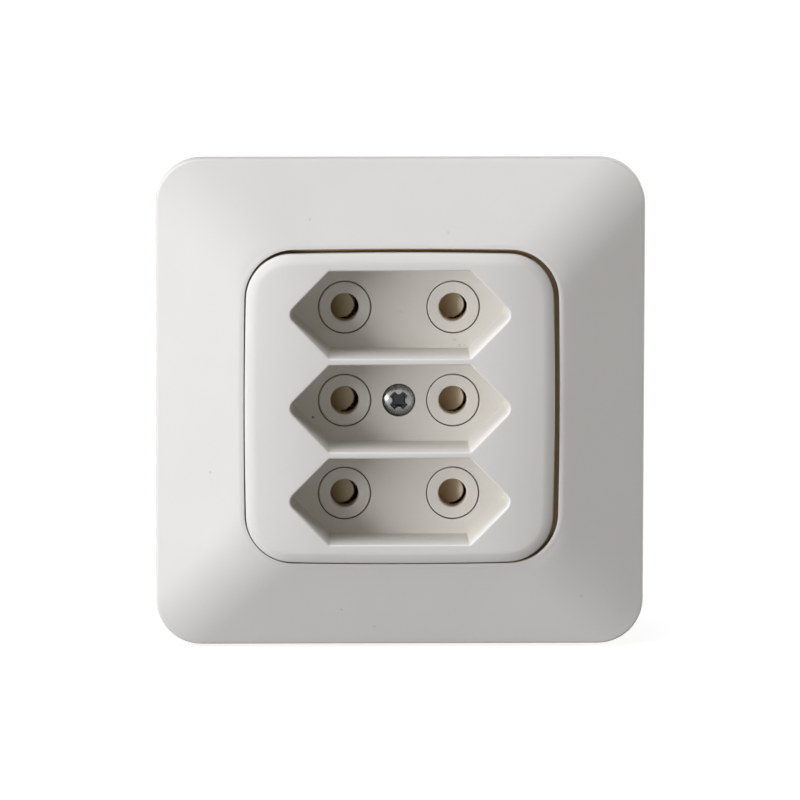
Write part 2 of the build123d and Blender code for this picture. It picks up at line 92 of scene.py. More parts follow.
# Values between which a noise pattern is spread out
NOISE_SPAN = (0.3, 0.7)
BLOTCH_SPAN = (0.35, 0.7)
# Layers of a fine grain, and its height in metres
GRAIN_DETAIL = 2.0
GRAIN_HEIGHT = 0.00003

Array = np.ndarray
HeightField = Callable[[Array], Array]
Place = tuple[float, float]
Span = tuple[float, float]
Colour = tuple[float, float, float]
Material = bpy.types.Material
Value = bpy.types.NodeSocket
Paint = Union[Value, Colour]


class Slot(Enum):
    """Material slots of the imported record."""

    WHITE = "white_plastic"
    SHUTTER = "shutter_plastic"
    BASE = "base_plastic"
    ZINC = "zinc_steel"
    SPRING = "spring_steel"
    BRASS = "contact_brass"


class Side(Enum):
    """Left and right of the socket, seen from the front."""

    LEFT = -1
    RIGHT = 1


def box_mm(node: str) -> tuple[Array, Array]:
    """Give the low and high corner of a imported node.

    Args:
        node: Name of the node.

    Returns:
        Two rows of (x, height, z) in millimetres, where height counts from the wall to the room.
    """
    low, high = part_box(node)
    return (
        np.array((low.x, -high.y, low.z)) / MM,
        np.array((high.x, -low.y, high.z)) / MM,
    )


def circle(radius: float, height: float, centre: Place = (0.0, 0.0), steps: int = 72) -> Array:
    """Give a ring of points, radius times (cos, sin) about a centre, at one height.

    Args:
        radius: Radius in millimetres.
        height: Height of the ring.
        centre: Plan position (x, z) of the centre.
        steps: Number of points.

    Returns:
        Array of shape (steps, 3).
    """
    angle = np.arange(steps) * (2 * math.pi / steps)
    return np.column_stack(
        (centre[0] + radius * np.cos(angle), np.full(steps, height), centre[1] + radius * np.sin(angle))
    )


def lathe(profile: Array, centre: Place = (0.0, 0.0), steps: int = 72) -> Array:
    """Turn a profile of (radius, height) rows about an axis square to the wall.

    Args:
        profile: Array of shape (rows, 2).
        centre: Plan position of the axis.
        steps: Points round each ring.

    Returns:
        Array of shape (rows, steps, 3).
    """
    angle = np.arange(steps) * (2 * math.pi / steps)
    ones = np.ones(steps)
    return np.stack(
        (
            centre[0] + np.outer(profile[:, 0], np.cos(angle)),
            np.outer(profile[:, 1], ones),
            centre[1] + np.outer(profile[:, 0], np.sin(angle)),
        ),
        axis=-1,
    )


def at_height(plan: Array, height: float | Array) -> Array:
    """Lift plan points (x, z) to a height, and give rows of (x, height, z)."""
    return np.column_stack((plan[:, 0], np.broadcast_to(height, len(plan)), plan[:, 1]))


def quarter(steps: int, first: float = 0.0, last: float = math.pi / 2) -> Array:
    """Give evenly spaced angles from first to last, both included."""
    return np.linspace(first, last, steps + 1)


def smooth_step(value: Array, low: float, high: float) -> Array:
    """Rise smoothly from 0 at low to 1 at high, by 3 t squared less 2 t cubed."""
    t = np.clip((value - low) / (high - low), 0.0, 1.0)
    return t * t * (3 - 2 * t)


def inside(points: Array, loop: Array) -> Array:
    """Tell which plan points lie inside a closed loop, by counting the edges that a ray crosses.

    Args:
        points: Array of shape (n, 2).
        loop: Array of shape (m, 2).

    Returns:
        Array of n truth values.
    """
    start, end = loop, np.roll(loop, -1, axis=0)
    x, z = points[:, :1], points[:, 1:]
    spans = (start[None, :, 1] > z) != (end[None, :, 1] > z)
    rise = np.where(end[:, 1] == start[:, 1], 1.0, end[:, 1] - start[:, 1])
    cross = start[:, 0] + (z - start[:, 1]) * (end[:, 0] - start[:, 0]) / rise
    return (np.sum(spans & (x < cross), axis=1) % 2) == 1


def square_outline(
    half: float, corner_r: float, bow: float = 0.0, side_steps: int = 28, corner_steps: int = 14
) -> tuple[Array, Array]:
    """Give a square with bowed sides and round corners.

    A side is half less bow times (x / corner) squared, and a corner is an arc that meets both sides smoothly.

    Args:
        half: Half of the square's width at the middle of a side.
        corner_r: Radius of the corners.
        bow: How far a side bulges at its middle.
        side_steps: Steps along a side.
        corner_steps: Steps round a corner.

    Returns:
        Plan points and their outward normals, each of shape (n, 2).
    """
    reach = half - bow
    centre = half - corner_r - bow
    for _ in range(SETTLE_ROUNDS):
        lean = math.atan(2 * bow * centre / reach**2)
        centre = half - bow * (centre / reach) ** 2 - corner_r / math.cos(lean)
    tangent = centre + corner_r * math.sin(lean)
    along = np.linspace(tangent, -tangent, side_steps, endpoint=False)
    lean_along = np.arctan(2 * bow * along / reach**2)
    side = np.column_stack((along, half - bow * (along / reach) ** 2))
    side_normal = np.column_stack((np.sin(lean_along), np.cos(lean_along)))
    turn = np.linspace(math.pi / 2 + lean, math.pi - lean, corner_steps, endpoint=False)
    arc_normal = np.column_stack((np.cos(turn), np.sin(turn)))
    arc = np.array((-centre, centre)) + corner_r * arc_normal
    run = np.vstack((side, arc))
    run_normal = np.vstack((side_normal, arc_normal))
    points, normals = [], []
    spin = np.eye(2)
    quarter_turn = np.array(((0.0, -1.0), (1.0, 0.0)))
    for _ in range(4):
        points.append(run @ spin.T)
        normals.append(run_normal @ spin.T)
        spin = quarter_turn @ spin
    return np.vstack(points), np.vstack(normals)


def rounded_path(corners: Array, radii: Array, side_steps: int, corner_steps: int) -> tuple[Array, Array]:
    """Give a convex outline whose corners are arcs.

    Each arc starts and ends a tangent length, radius times tan of half the turn, away from its corner.

    Args:
        corners: Corner points of shape (n, 2), anticlockwise.
        radii: One radius for each corner.
        side_steps: Steps along each side.
        corner_steps: Steps round each corner.

    Returns:
        Plan points and their outward normals, each of shape (n * (side_steps + corner_steps), 2).
    """
    count = len(corners)
    edge = np.roll(corners, -1, axis=0) - corners
    edge /= np.linalg.norm(edge, axis=1, keepdims=True)
    normal = np.column_stack((edge[:, 1], -edge[:, 0]))
    heading = np.unwrap(np.arctan2(normal[:, 1], normal[:, 0]))
    before = np.roll(heading, 1)
    before[0] -= 2 * math.pi
    half_turn = (heading - before) / 2
    tangent = radii * np.tan(half_turn)
    arc_centre = corners - normal * radii[:, None] + edge * tangent[:, None]
    share = np.arange(corner_steps) / corner_steps
    angle = before[:, None] + 2 * half_turn[:, None] * share[None, :]
    arc_normal = np.stack((np.cos(angle), np.sin(angle)), axis=-1)
    arc = arc_centre[:, None, :] + radii[:, None, None] * arc_normal
    start = corners + edge * tangent[:, None]
    end = np.roll(corners - np.roll(edge, 1, axis=0) * tangent[:, None], -1, axis=0)
    share = (np.arange(side_steps) / side_steps)[None, :, None]
    side = start[:, None, :] + (end - start)[:, None, :] * share
    side_normal = np.broadcast_to(normal[:, None, :], side.shape)
    points = np.concatenate((arc, side), axis=1).reshape(count * (corner_steps + side_steps), 2)
    normals = np.concatenate((arc_normal, side_normal), axis=1).reshape(points.shape)
    return points, normals


@dataclass
class Shell:
    """A mesh under construction, in millimetres, with rows of (x, height, z).

    Attributes:
        blocks: Blocks of points.
        faces: Faces as tuples of point numbers.
        count: Number of points so far.
    """

    blocks: list[Array] = field(default_factory=list)
    faces: list[tuple[int, ...]] = field(default_factory=list)
    count: int = 0

    def add_points(self, points: Array) -> int:
        """Keep a block of points.

        Args:
            points: Array of shape (n, 3).

        Returns:
            Number of the block's first point.
        """
        first = self.count
        self.blocks.append(points)
        self.count += len(points)
        return first

    def strip(self, rings: Array, wrap: bool = False) -> None:
        """Join rings of points with four-sided faces.

        Args:
            rings: Array of shape (rows, columns, 3), where each row is a closed ring.
            wrap: Whether the last ring joins the first.
        """
        rows, columns = rings.shape[:2]
        index = self.add_points(rings.reshape(-1, 3)) + np.arange(rows * columns).reshape(rows, columns)
        upper = index if wrap else index[:-1]
        lower = np.roll(index, -1, axis=0) if wrap else index[1:]
        quads = np.stack((upper, np.roll(upper, -1, axis=1), np.roll(lower, -1, axis=1), lower), axis=-1)
        self.faces.extend(map(tuple, quads.reshape(-1, 4).tolist()))

    def cap(self, ring: Array) -> None:
        """Close a ring with one many-sided face."""
        first = self.add_points(ring)
        self.faces.append(tuple(range(first, first + len(ring))))

    def box(self, corners: Array) -> None:
        """Add a closed block.

        Args:
            corners: Its 8 corners, the lower four in order and then the upper four.
        """
        self.strip(corners.reshape(2, 4, 3))
        self.cap(corners[:4])
        self.cap(corners[4:])

    def fill(
        self, outer: Array, holes: list[Array], field_of: Optional[HeightField] = None, spacing: float = 1.0
    ) -> None:
        """Cover the region inside one loop and outside the holes with triangles.

        The plan is bent slightly for this, so that no three points of a straight side lie in one line.

        Args:
            outer: Outer loop of shape (n, 3).
            holes: Loops to leave open.
            field_of: Height over the plan, for a domed region that needs points inside.
            spacing: Distance between those inner points.
        """
        loops = [outer, *holes]
        points = np.vstack(loops)
        edges: list[tuple[int, int]] = []
        first = 0
        for loop in loops:
            number = first + np.arange(len(loop))
            edges.extend(zip(number.tolist(), np.roll(number, -1).tolist()))
            first += len(loop)
        if field_of is not None:
            points = np.vstack((points, self._inner_points(loops, field_of, spacing)))
        plan = points[:, (0, 2)]
        bent = self._bend(plan, plan[: len(outer)].mean(axis=0))
        _, _, faces, origins, _, _ = delaunay_2d_cdt(
            [Vector(place) for place in bent.tolist()], edges, [], TRIANGLES_INSIDE, TRIANGLE_TOLERANCE, True
        )
        source = np.array([numbers[0] for numbers in origins])
        triangles = source[np.array(faces)]
        middle = bent[triangles].mean(axis=1)
        keep = np.ones(len(triangles), dtype=bool)
        first = 0
        for loop in loops:
            keep &= inside(middle, bent[first : first + len(loop)]) == (first == 0)
            first += len(loop)
        base = self.add_points(points)
        self.faces.extend(map(tuple, (triangles[keep] + base).tolist()))

    @staticmethod
    def _bend(plan: Array, centre: Array) -> Array:
        """Draw plan points in towards a centre, by a share that grows with the squared distance."""
        away = plan - centre
        return away * (1 - BEND * np.sum(away**2, axis=1, keepdims=True))

    @staticmethod
    def _inner_points(loops: list[Array], field_of: HeightField, spacing: float) -> Array:
        """Give points on a grid that lie inside the first loop, outside the others and off their edges.

        Args:
            loops: Loops of shape (n, 3), the outer one first.
            field_of: Height over the plan.
            spacing: Width of the grid's cells.

        Returns:
            Array of shape (n, 3).
        """
        low, high = loops[0].min(axis=0), loops[0].max(axis=0)
        x, z = np.meshgrid(np.arange(low[0], high[0], spacing), np.arange(low[2], high[2], spacing))
        plan = np.column_stack((x.ravel(), z.ravel()))
        keep = inside(plan, loops[0][:, (0, 2)])
        for loop in loops[1:]:
            keep &= ~inside(plan, loop[:, (0, 2)])
        edge_points = np.vstack(loops)[:, (0, 2)]
        gap = np.min(np.linalg.norm(plan[:, None, :] - edge_points[None, :, :], axis=-1), axis=1)
        plan = plan[keep & (gap > spacing / 2)]
        return at_height(plan, field_of(plan))

    def build(
        self,
        name: str,
        finish: Material,
        slot: Slot,
        replaces: Optional[str] = None,
        body: str = HOUSING_BODY,
    ) -> bpy.types.Object:
        """Turn the points and faces into a piece of the socket.

        Args:
            name: Name of the piece.
            finish: Its material.
            slot: Material slot of the record, not used.
            replaces: Node that it stands for, if it stands for one.
            body: Body that it rides on.

        Returns:
            The new object.
        """
        rows = np.vstack(self.blocks)
        points = np.column_stack((rows[:, 0], -rows[:, 1], rows[:, 2])) * MM
        mesh = bpy.data.meshes.new(name)
        mesh.from_pydata(points.tolist(), [], self.faces)
        work = bmesh.new()
        work.from_mesh(mesh)
        bmesh.ops.remove_doubles(work, verts=work.verts, dist=MERGE_MM * MM)
        loose = [v for v in work.verts if not v.link_faces]
        bmesh.ops.delete(work, geom=loose, context="VERTS")
        bmesh.ops.recalc_face_normals(work, faces=work.faces)
        open_edges = sum(1 for e in work.edges if len(e.link_faces) != 2)
        work.to_mesh(mesh)
        work.free()
        mesh.shade_smooth()
        mesh.set_sharp_from_angle(angle=math.radians(SHARP_DEG))
        mesh.materials.append(finish)
        piece = bpy.data.objects.new(name, mesh)
        bpy.context.scene.collection.objects.link(piece)
        weighted = piece.modifiers.new("even_normals", "WEIGHTED_NORMAL")
        weighted.keep_sharp = True
        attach(piece, body)
        if replaces is not None:
            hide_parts(replaces)
        LOG.info("%s: %d faces, %d open edges", name, len(mesh.polygons), open_edges)
        return piece


@dataclass
class CoverFrame:
    """The white cover frame: four sloping faces round an opening, hollow behind, with ribs.

    Attributes:
        edge_height: Height of the outer edge.
        lip_height: Height where the slopes would meet the opening.
        wall: Thickness of the slopes and the outer wall.
        corner_r: Radius of the outer corners.
        left_trim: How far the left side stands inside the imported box.
        hip_width: Half width of the rounding along the hips, in plan.
        edge_r: Rounding of the outer edge.
        edge_turn_deg: How far that rounding turns from the front towards the wall beside it.
        lip_r: Rounding of the lip round the opening.
        lip_turn_deg: How far the lip's rounding turns.
        opening_half: Half width of the opening.
        opening_stretch: Its height over its width.
        opening_shift: How far the opening sits off the middle, sideways and up.
        opening_corner_r: Radius of the opening's corners.
        bow: How far the opening's sides bulge.
        rim_wall: Thickness of the rim round the opening.
        ledge_width: Width of the ledge that the plate's skirt stands on.
        seat: Height of the ledge's front.
        ledge_back: Height of the ledge's back.
        rim_back: Height of the rim's rear edge.
        notch_half: Half width of the rim's notches.
        rib_spacing: Distance between the two ribs of a side.
        rib_half: Half thickness of a rib.
        rib_back: Height of a rib's rear edge.
        slope_steps: Steps across a sloping face.
        arc_steps: Steps round an edge.
    """

    edge_height: float = 3.0
    lip_height: float = 8.6
    wall: float = 2.0
    corner_r: float = 8.0
    left_trim: float = 0.4
    hip_width: float = 6.4
    edge_r: float = 0.6
    edge_turn_deg: float = 90.0
    lip_r: float = 2.6
    lip_turn_deg: float = 3.0
    opening_half: float = 27.63
    opening_stretch: float = 1.0094
    opening_shift: Place = (0.325, -0.02)
    opening_corner_r: float = 8.65
    bow: float = 0.35
    rim_wall: float = 1.8
    ledge_width: float = 1.8
    seat: float = 5.0
    ledge_back: float = 3.5
    rim_back: float = 1.0
    notch_half: float = 5.0
    rib_spacing: float = 40.0
    rib_half: float = 0.6
    rib_back: float = 2.0
    slope_steps: int = 22
    arc_steps: int = 8

    def __post_init__(self) -> None:
        """Read the frame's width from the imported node, and work out the slope from it."""
        _, high = box_mm("cover_frame")
        self.half = float(high[0])
        self.slope = (self.lip_height - self.edge_height) / (self.half - self.opening_half)

    def roof(self, plan: Array, hip_width: float) -> Array:
        """Give the height of the sloping faces over the plan.

        Height falls with the larger of |x| and |z|. The larger one is half the sum plus half the difference,
        and the difference is rounded by a parabola within the hip's width.

        Args:
            plan: Points of shape (..., 2).
            hip_width: Half width of the rounding, 0 for sharp hips.

        Returns:
            Heights of shape (...).
        """
        reach = np.abs(plan)
        apart = np.abs(reach[..., 0] - reach[..., 1]) / math.sqrt(2)
        if hip_width > 0:
            apart = np.where(apart < hip_width, (apart**2 + hip_width**2) / (2 * hip_width), apart)
        largest = reach.sum(axis=-1) / 2 + apart / math.sqrt(2)
        return self.edge_height + self.slope * (self.half - largest)

    def front(self, plan: Array) -> Array:
        """Give the height of the front face over the plan."""
        return self.roof(plan, self.hip_width)

    def edge_arc(
        self, outline: Array, inward: Array, radius: float, rise: float, turn_deg: float
    ) -> list[Array]:
        """Round the edge between a wall and the sloping face beside it.

        The arc touches the slope, so its centre lies one radius below it measured square to it, and the arc
        ends at the wall where it has turned by the given angle from the front.

        Args:
            outline: Plan points of the wall, of shape (n, 2).
            inward: Unit vectors from the wall towards the slope.
            radius: Radius of the arc.
            rise: Slope of the face along inward, positive where it climbs.
            turn_deg: Turn from the front towards the wall at which the arc ends.

        Returns:
            Rings from the wall to the face.
        """
        last = math.pi / 2 + math.radians(turn_deg)
        into = -radius * math.cos(last)
        centre = self.front(outline) + rise * into - radius * math.hypot(1.0, rise)
        rings = []
        for angle in quarter(self.arc_steps, last, math.pi / 2 + math.atan(rise)):
            plan = outline + inward * (into + radius * math.cos(angle))
            rings.append(at_height(plan, centre + radius * math.sin(angle)))
        return rings

    def trimmed(self, plan: Array) -> Array:
        """Draw plan points in from the left, in step with their distance from the right side."""
        share = (self.half - plan[:, 0]) / (2 * self.half)
        return plan + np.column_stack((self.left_trim * share, np.zeros(len(plan))))

    def opening_outline(self, outset: float) -> tuple[Array, Array]:
        """Give the opening's outline moved out by a distance, then stretched upwards and shifted.

        Args:
            outset: The distance, below 0 for an outline inside the opening.

        Returns:
            Plan points and the outward normals from before the stretch.
        """
        outline, normal = square_outline(self.opening_half + outset, self.opening_corner_r + outset, self.bow)
        return outline * np.array((1.0, self.opening_stretch)) + np.array(self.opening_shift), normal

    def section_rings(self) -> Array:
        """Give the closed section as rings: wall, slope, lip, ledge, rim, hollow and back edge.

        Returns:
            Array of shape (rings, points, 3).
        """
        outer, outer_normal = square_outline(self.half, self.corner_r)
        opening, opening_normal = self.opening_outline(0.0)
        rim, _ = self.opening_outline(self.rim_wall)
        ledge, _ = self.opening_outline(-self.ledge_width)
        hollow, _ = square_outline(self.half - self.wall, self.corner_r - self.wall)
        outer, hollow = self.trimmed(outer), self.trimmed(hollow)
        edge = self.edge_arc(outer, -outer_normal, self.edge_r, self.slope, self.edge_turn_deg)
        lip = self.edge_arc(opening, opening_normal, self.lip_r, -self.slope, self.lip_turn_deg)[::-1]
        first, last = edge[-1][:, (0, 2)], lip[0][:, (0, 2)]
        face = []
        for share in np.linspace(0, 1, self.slope_steps + 1)[1:-1]:
            plan = first + (last - first) * share
            face.append(at_height(plan, self.front(plan)))
        drop = self.wall * math.hypot(1.0, self.slope)
        ceiling = []
        for share in np.linspace(0, 1, self.slope_steps // 2):
            plan = rim + (hollow - rim) * share
            ceiling.append(at_height(plan, self.roof(plan, 0.0) - drop))
        in_notch = np.min(np.abs(opening), axis=1) < self.notch_half
        rim_back = np.where(in_notch, self.ledge_back, self.rim_back)
        rings = [
            at_height(outer, 0.0),
            *edge,
            *face,
            *lip,
            at_height(opening, self.seat),
            at_height(ledge, self.seat),
            at_height(ledge, self.ledge_back),
            at_height(opening, self.ledge_back - APART_MM),
            at_height(opening, rim_back - 2 * APART_MM),
            at_height(rim, rim_back - 2 * APART_MM),
            *ceiling,
            at_height(hollow, 0.0),
        ]
        return np.stack(rings)

    def ribs(self) -> list[Array]:
        """Give the eight ribs between the rim and the outer wall, two to a side, turned by quarter turns.

        Returns:
            The 8 corners of each rib, the lower four first.
        """
        inner, outer = self.opening_half + self.rim_wall - self.rib_half, self.half - self.wall / 2
        drop = self.wall * math.hypot(1.0, self.slope) / 2
        plan = np.array(
            ((inner, -self.rib_half), (outer, -self.rib_half), (outer, self.rib_half), (inner, self.rib_half))
        )
        tops = self.edge_height + self.slope * (self.half - plan[:, 0]) - drop
        blocks = []
        for turn in range(4):
            cos, sin = round(math.cos(turn * math.pi / 2)), round(math.sin(turn * math.pi / 2))
            spin = np.array(((cos, sin), (-sin, cos)))
            for offset in (-self.rib_spacing / 2, self.rib_spacing / 2):
                moved = (plan + np.array((0.0, offset))) @ spin
                blocks.append(np.vstack((at_height(moved, self.rib_back), at_height(moved, tops))))
        return blocks

    def build(self, finish: Material) -> bpy.types.Object:
        """Make the frame as one closed sweep with its ribs.

        Args:
            finish: Its material.

        Returns:
            The new object.
        """
        shell = Shell()
        shell.strip(self.section_rings(), wrap=True)
        for corners in self.ribs():
            shell.box(corners)
        return shell.build("frame_moulding", finish, Slot.WHITE, "cover_frame")


@dataclass
class CentrePlate:
    """The centre plate: a crowned face with three drafted six-sided recesses, a skirt and a screw boss.

    Attributes:
        corner_r: Radius of the plate's corners.
        bow: How far its sides bulge.
        bevel_deg: Slope of the bevel along the outer edge.
        bevel_width: Width of that bevel.
        bevel_blend: Width over which the bevel runs out into the crown.
        edge_break: Rounding between the bevel and the side wall.
        seat: Height of the skirt's rear edge.
        wall: Thickness of the skirt.
        cavity_top: Height of the face's rear side.
        crown_flat: Distance from the middle at which the crown starts to fall sideways.
        crown_side: How fast it falls sideways.
        crown_upright: How fast it falls upwards and downwards.
        recess_half: Half height of a recess.
        recess_flat_half: Half length of its straight edges.
        recess_slant: How far a slanted side runs sideways for its height.
        recess_corner_r: Radius of its four wide corners.
        recess_apex_r: Radius of its left and right corners.
        lip_r: Rounding of its lip.
        apex_lip_r: Rounding of the lip at the left and right corners.
        draft_deg: Lean of its walls.
        floor: Height of its floor.
        floor_back: Height of the floor's rear side.
        floor_r: Rounding between wall and floor.
        shell_wall: Thickness of its walls.
        shell_blunt: How far the walls' outer corners are cut off.
        pin_x: Distance of the pin holes from the middle.
        collar_hole_r: Radius of the holes for the collars.
        well_r: Radius of the screw's well.
        well_floor: Height of the well's floor.
        screw_hole_r: Radius of the screw's hole.
        boss_r: Radius of the boss behind the screw.
        boss_back: Height of the boss's rear side.
        front_height: Height of the crown's middle.
        sag: How far the front sits below the middle of the pin holes.
        mouth_sag: How far the recess mouths sit below the middle of the pin holes.
        stretch: The plate's height over its width.
        apex_from: Distance from the middle at which the lip's rounding starts to change sideways.
        apex_to: Distance at which it has reached that of the left and right corners.
        shell_gap: Space between the recess shells and the skirt.
        lip_steps: Steps round a lip.
        wall_steps: Steps down a recess wall.
        floor_steps: Steps round the edge of a recess floor.
        bevel_steps: Steps over which the bevel runs out.
        side_steps: Steps along each side of a recess.
        corner_steps: Steps round each of its corners.
        face_spacing: Distance between points on the front face.
    """

    corner_r: float = 8.0
    bow: float = 0.42
    bevel_deg: float = 21.0
    bevel_width: float = 1.0
    bevel_blend: float = 1.2
    edge_break: float = 0.2
    seat: float = 5.0
    wall: float = 1.6
    cavity_top: float = 7.2
    crown_flat: float = 14.5
    crown_side: float = 0.008
    crown_upright: float = 0.0008
    recess_half: float = 7.65
    recess_flat_half: float = 12.3
    recess_slant: float = 0.974
    recess_corner_r: float = 0.45
    recess_apex_r: float = 1.7
    lip_r: float = 0.34
    apex_lip_r: float = 0.36
    draft_deg: float = 2.6
    floor: float = 0.8
    floor_back: float = -0.8
    floor_r: float = 0.03
    shell_wall: float = 1.75
    shell_blunt: float = 1.45
    pin_x: float = 9.5
    collar_hole_r: float = 4.7
    well_r: float = 2.925
    well_floor: float = -0.7
    screw_hole_r: float = 1.7
    boss_r: float = 4.3
    boss_back: float = -2.2
    front_height: float = 10.49
    sag: float = 0.2
    mouth_sag: float = 0.05
    stretch: float = 1.011
    apex_from: float = 14.0
    apex_to: float = 18.5
    shell_gap: float = 0.3
    lip_steps: int = 8
    wall_steps: int = 6
    floor_steps: int = 6
    bevel_steps: int = 8
    side_steps: int = 24
    corner_steps: int = 8
    face_spacing: float = 1.3

    def __post_init__(self) -> None:
        """Read the plate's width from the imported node."""
        _, high = box_mm("centre_plate")
        self.half = float(high[0])

    def crown(self, plan: Array) -> Array:
        """Give the front face's height, which falls with the squared distance beyond its flat middle."""
        beyond = np.maximum(np.abs(plan[..., 0]) - self.crown_flat, 0.0)
        return self.front_height - self.crown_side * beyond**2 - self.crown_upright * plan[..., 1] ** 2

    def recess_ring(self, row: float, outset: float) -> tuple[Array, Array]:
        """Give the six-sided outline of a recess, moved out or in by a distance.

        Args:
            row: Height of the recess's middle on the plate.
            outset: Distance by which each side moves out.

        Returns:
            Plan points and outward normals.
        """
        half = self.recess_half + outset
        flat = self.recess_flat_half + outset * CORNER_SHIFT
        apex = flat + self.recess_slant * half
        corners = np.array(
            ((flat, -half), (apex, 0.0), (flat, half), (-flat, half), (-apex, 0.0), (-flat, -half))
        )
        radii = np.array([self.recess_corner_r, self.recess_apex_r, self.recess_corner_r] * 2)
        points, normals = rounded_path(corners, radii, self.side_steps, self.corner_steps)
        return points + np.array((0.0, row)), normals

    def recess_rings(self, row: float) -> Array:
        """Give the rings of one recess, from the front face over the lip, down the wall and on to the floor.

        The lip and the floor's edge are quarter circles, and the wall runs straight between them.

        Args:
            row: Height of the recess's middle on the plate.

        Returns:
            Array of shape (rings, points, 3).
        """
        mouth, normal = self.recess_ring(row - self.mouth_sag, 0.0)
        soft = smooth_step(np.abs(mouth[:, 0]), self.apex_from, self.apex_to)
        lip_r = self.lip_r + (self.apex_lip_r - self.lip_r) * soft
        rings = []
        for angle in quarter(self.lip_steps):
            plan = mouth + normal * (lip_r * (1 - math.sin(angle)))[:, None]
            rings.append(at_height(plan, self.crown(plan) - lip_r * (1 - math.cos(angle))))
        top = rings[-1]
        inset = (self.front_height - self.floor - self.floor_r) * math.tan(math.radians(self.draft_deg))
        foot, _ = self.recess_ring(row, -inset)
        bottom = at_height(foot, self.floor + self.floor_r)
        for share in np.linspace(0, 1, self.wall_steps + 1)[1:]:
            rings.append(top + (bottom - top) * share)
        for angle in quarter(self.floor_steps)[1:]:
            plan, _ = self.recess_ring(row, -inset - self.floor_r * (1 - math.cos(angle)))
            rings.append(at_height(plan, self.floor + self.floor_r * (1 - math.sin(angle))))
        return np.stack(rings)

    def crown_slope(self, plan: Array, along: Array) -> Array:
        """Give how steeply the crown falls along a direction, by the derivative of its formula.

        Args:
            plan: Points of shape (..., 2).
            along: Unit vectors of the same shape.

        Returns:
            Slopes of shape (...), positive where the crown falls.
        """
        beyond = np.maximum(np.abs(plan[..., 0]) - self.crown_flat, 0.0)
        sideways = 2 * self.crown_side * beyond * np.sign(plan[..., 0])
        upright = 2 * self.crown_upright * plan[..., 1]
        return np.sum(np.stack((sideways, upright), axis=-1) * along, axis=-1)

    def edge_rings(self, outline: Array, normal: Array) -> list[Array]:
        """Give the rings of the outer edge, from the side wall to the front face.

        The bevel's slope is added to the crown's along the edge and fades out by a smooth step. A ring's drop
        below the crown is the integral of that added slope from the ring to the inner end of the fade.

        Args:
            outline: Plan points of the side wall.
            normal: Their outward normals.

        Returns:
            Rings from the wall to the face.
        """
        added = math.tan(math.radians(self.bevel_deg)) - self.crown_slope(outline, normal)
        rings = []
        fade = self.bevel_width + self.bevel_blend * np.linspace(0.0, 1.0, self.bevel_steps + 1)
        for inset in np.concatenate(((0.0, self.edge_break), fade)):
            t = max(inset - self.bevel_width, 0.0) / self.bevel_blend
            fall = max(self.bevel_width - inset, 0.0) + self.bevel_blend * (0.5 - t + t**3 - t**4 / 2)
            plan = outline - normal * inset
            corner = self.edge_break if inset == 0.0 else 0.0
            rings.append(at_height(plan, self.crown(plan) - added * fall - corner))
        return rings

    def shells_outline(self) -> Array:
        """Give the outline of the three recess shells seen from behind, joined where they meet.

        The right side's corners run from the top down, and the left side mirrors them.

        Returns:
            Plan points of shape (n, 2).
        """
        inset = (self.front_height - self.floor) * math.tan(math.radians(self.draft_deg))
        half = self.recess_half - inset + self.shell_wall
        flat = self.recess_flat_half + (self.shell_wall - inset) * CORNER_SHIFT
        end = flat + self.recess_slant * half - self.shell_blunt
        pitch = ROWS[0] - ROWS[1]
        waist = flat + self.recess_slant * (half - pitch / 2)
        top = self.half - self.wall - self.bow - self.shell_gap
        right = [(flat + self.recess_slant * (half - top + ROWS[0]), top)]
        for row in ROWS:
            right += [(end, row + self.shell_blunt), (end, row - self.shell_blunt)]
            if row != ROWS[-1]:
                right.append((waist, row - pitch / 2))
        right.append((right[0][0], -top))
        side = np.array(right)
        return np.vstack((side, side[::-1] * np.array((-1.0, 1.0))))

    def boss_profile(self) -> Array:
        """Give the section of the screw's well, its hole and the boss behind, as (radius, height)."""
        return np.array(
            (
                (self.well_r, self.floor),
                (self.well_r, self.well_floor),
                (self.screw_hole_r, self.well_floor),
                (self.screw_hole_r, self.boss_back),
                (self.boss_r, self.boss_back),
                (self.boss_r, self.floor_back),
            )
        )

    def build(self, finish: Material) -> bpy.types.Object:
        """Make the plate as one closed shell.

        Args:
            finish: Its material.

        Returns:
            The new object.
        """
        shell = Shell()
        outline, normal = square_outline(self.half, self.corner_r, self.bow)
        cavity, _ = square_outline(self.half - self.wall, self.corner_r - self.wall, self.bow)
        outline, cavity = (
            loop * np.array((1.0, self.stretch)) - np.array((0.0, self.sag)) for loop in (outline, cavity)
        )
        edge = self.edge_rings(outline, normal)
        ceiling = at_height(cavity, self.cavity_top)
        shell.strip(np.stack((ceiling, at_height(cavity, self.seat), at_height(outline, self.seat), *edge)))
        recesses = [self.recess_rings(row) for row in ROWS]
        shell.fill(edge[-1], [rings[0] for rings in recesses], self.crown, self.face_spacing)
        behind = self.shells_outline()
        walls = np.stack((at_height(behind, self.cavity_top), at_height(behind, self.floor_back)))
        shell.fill(ceiling, [walls[0]])
        shell.strip(walls)
        hole_wall = np.array(((self.collar_hole_r, self.floor), (self.collar_hole_r, self.floor_back)))
        holes_behind = [circle(self.boss_r, self.floor_back)]
        for row, rings in zip(ROWS, recesses):
            shell.strip(rings)
            holes = []
            for side in Side:
                hole = lathe(hole_wall, (side.value * self.pin_x, row))
                shell.strip(hole)
                holes.append(hole[0])
                holes_behind.append(hole[1])
            if row == 0.0:
                holes.append(circle(self.well_r, self.floor))
            shell.fill(rings[-1], holes)
        shell.fill(walls[1], holes_behind)
        shell.strip(lathe(self.boss_profile()))
        return shell.build("plate_moulding", finish, Slot.WHITE, "centre_plate")


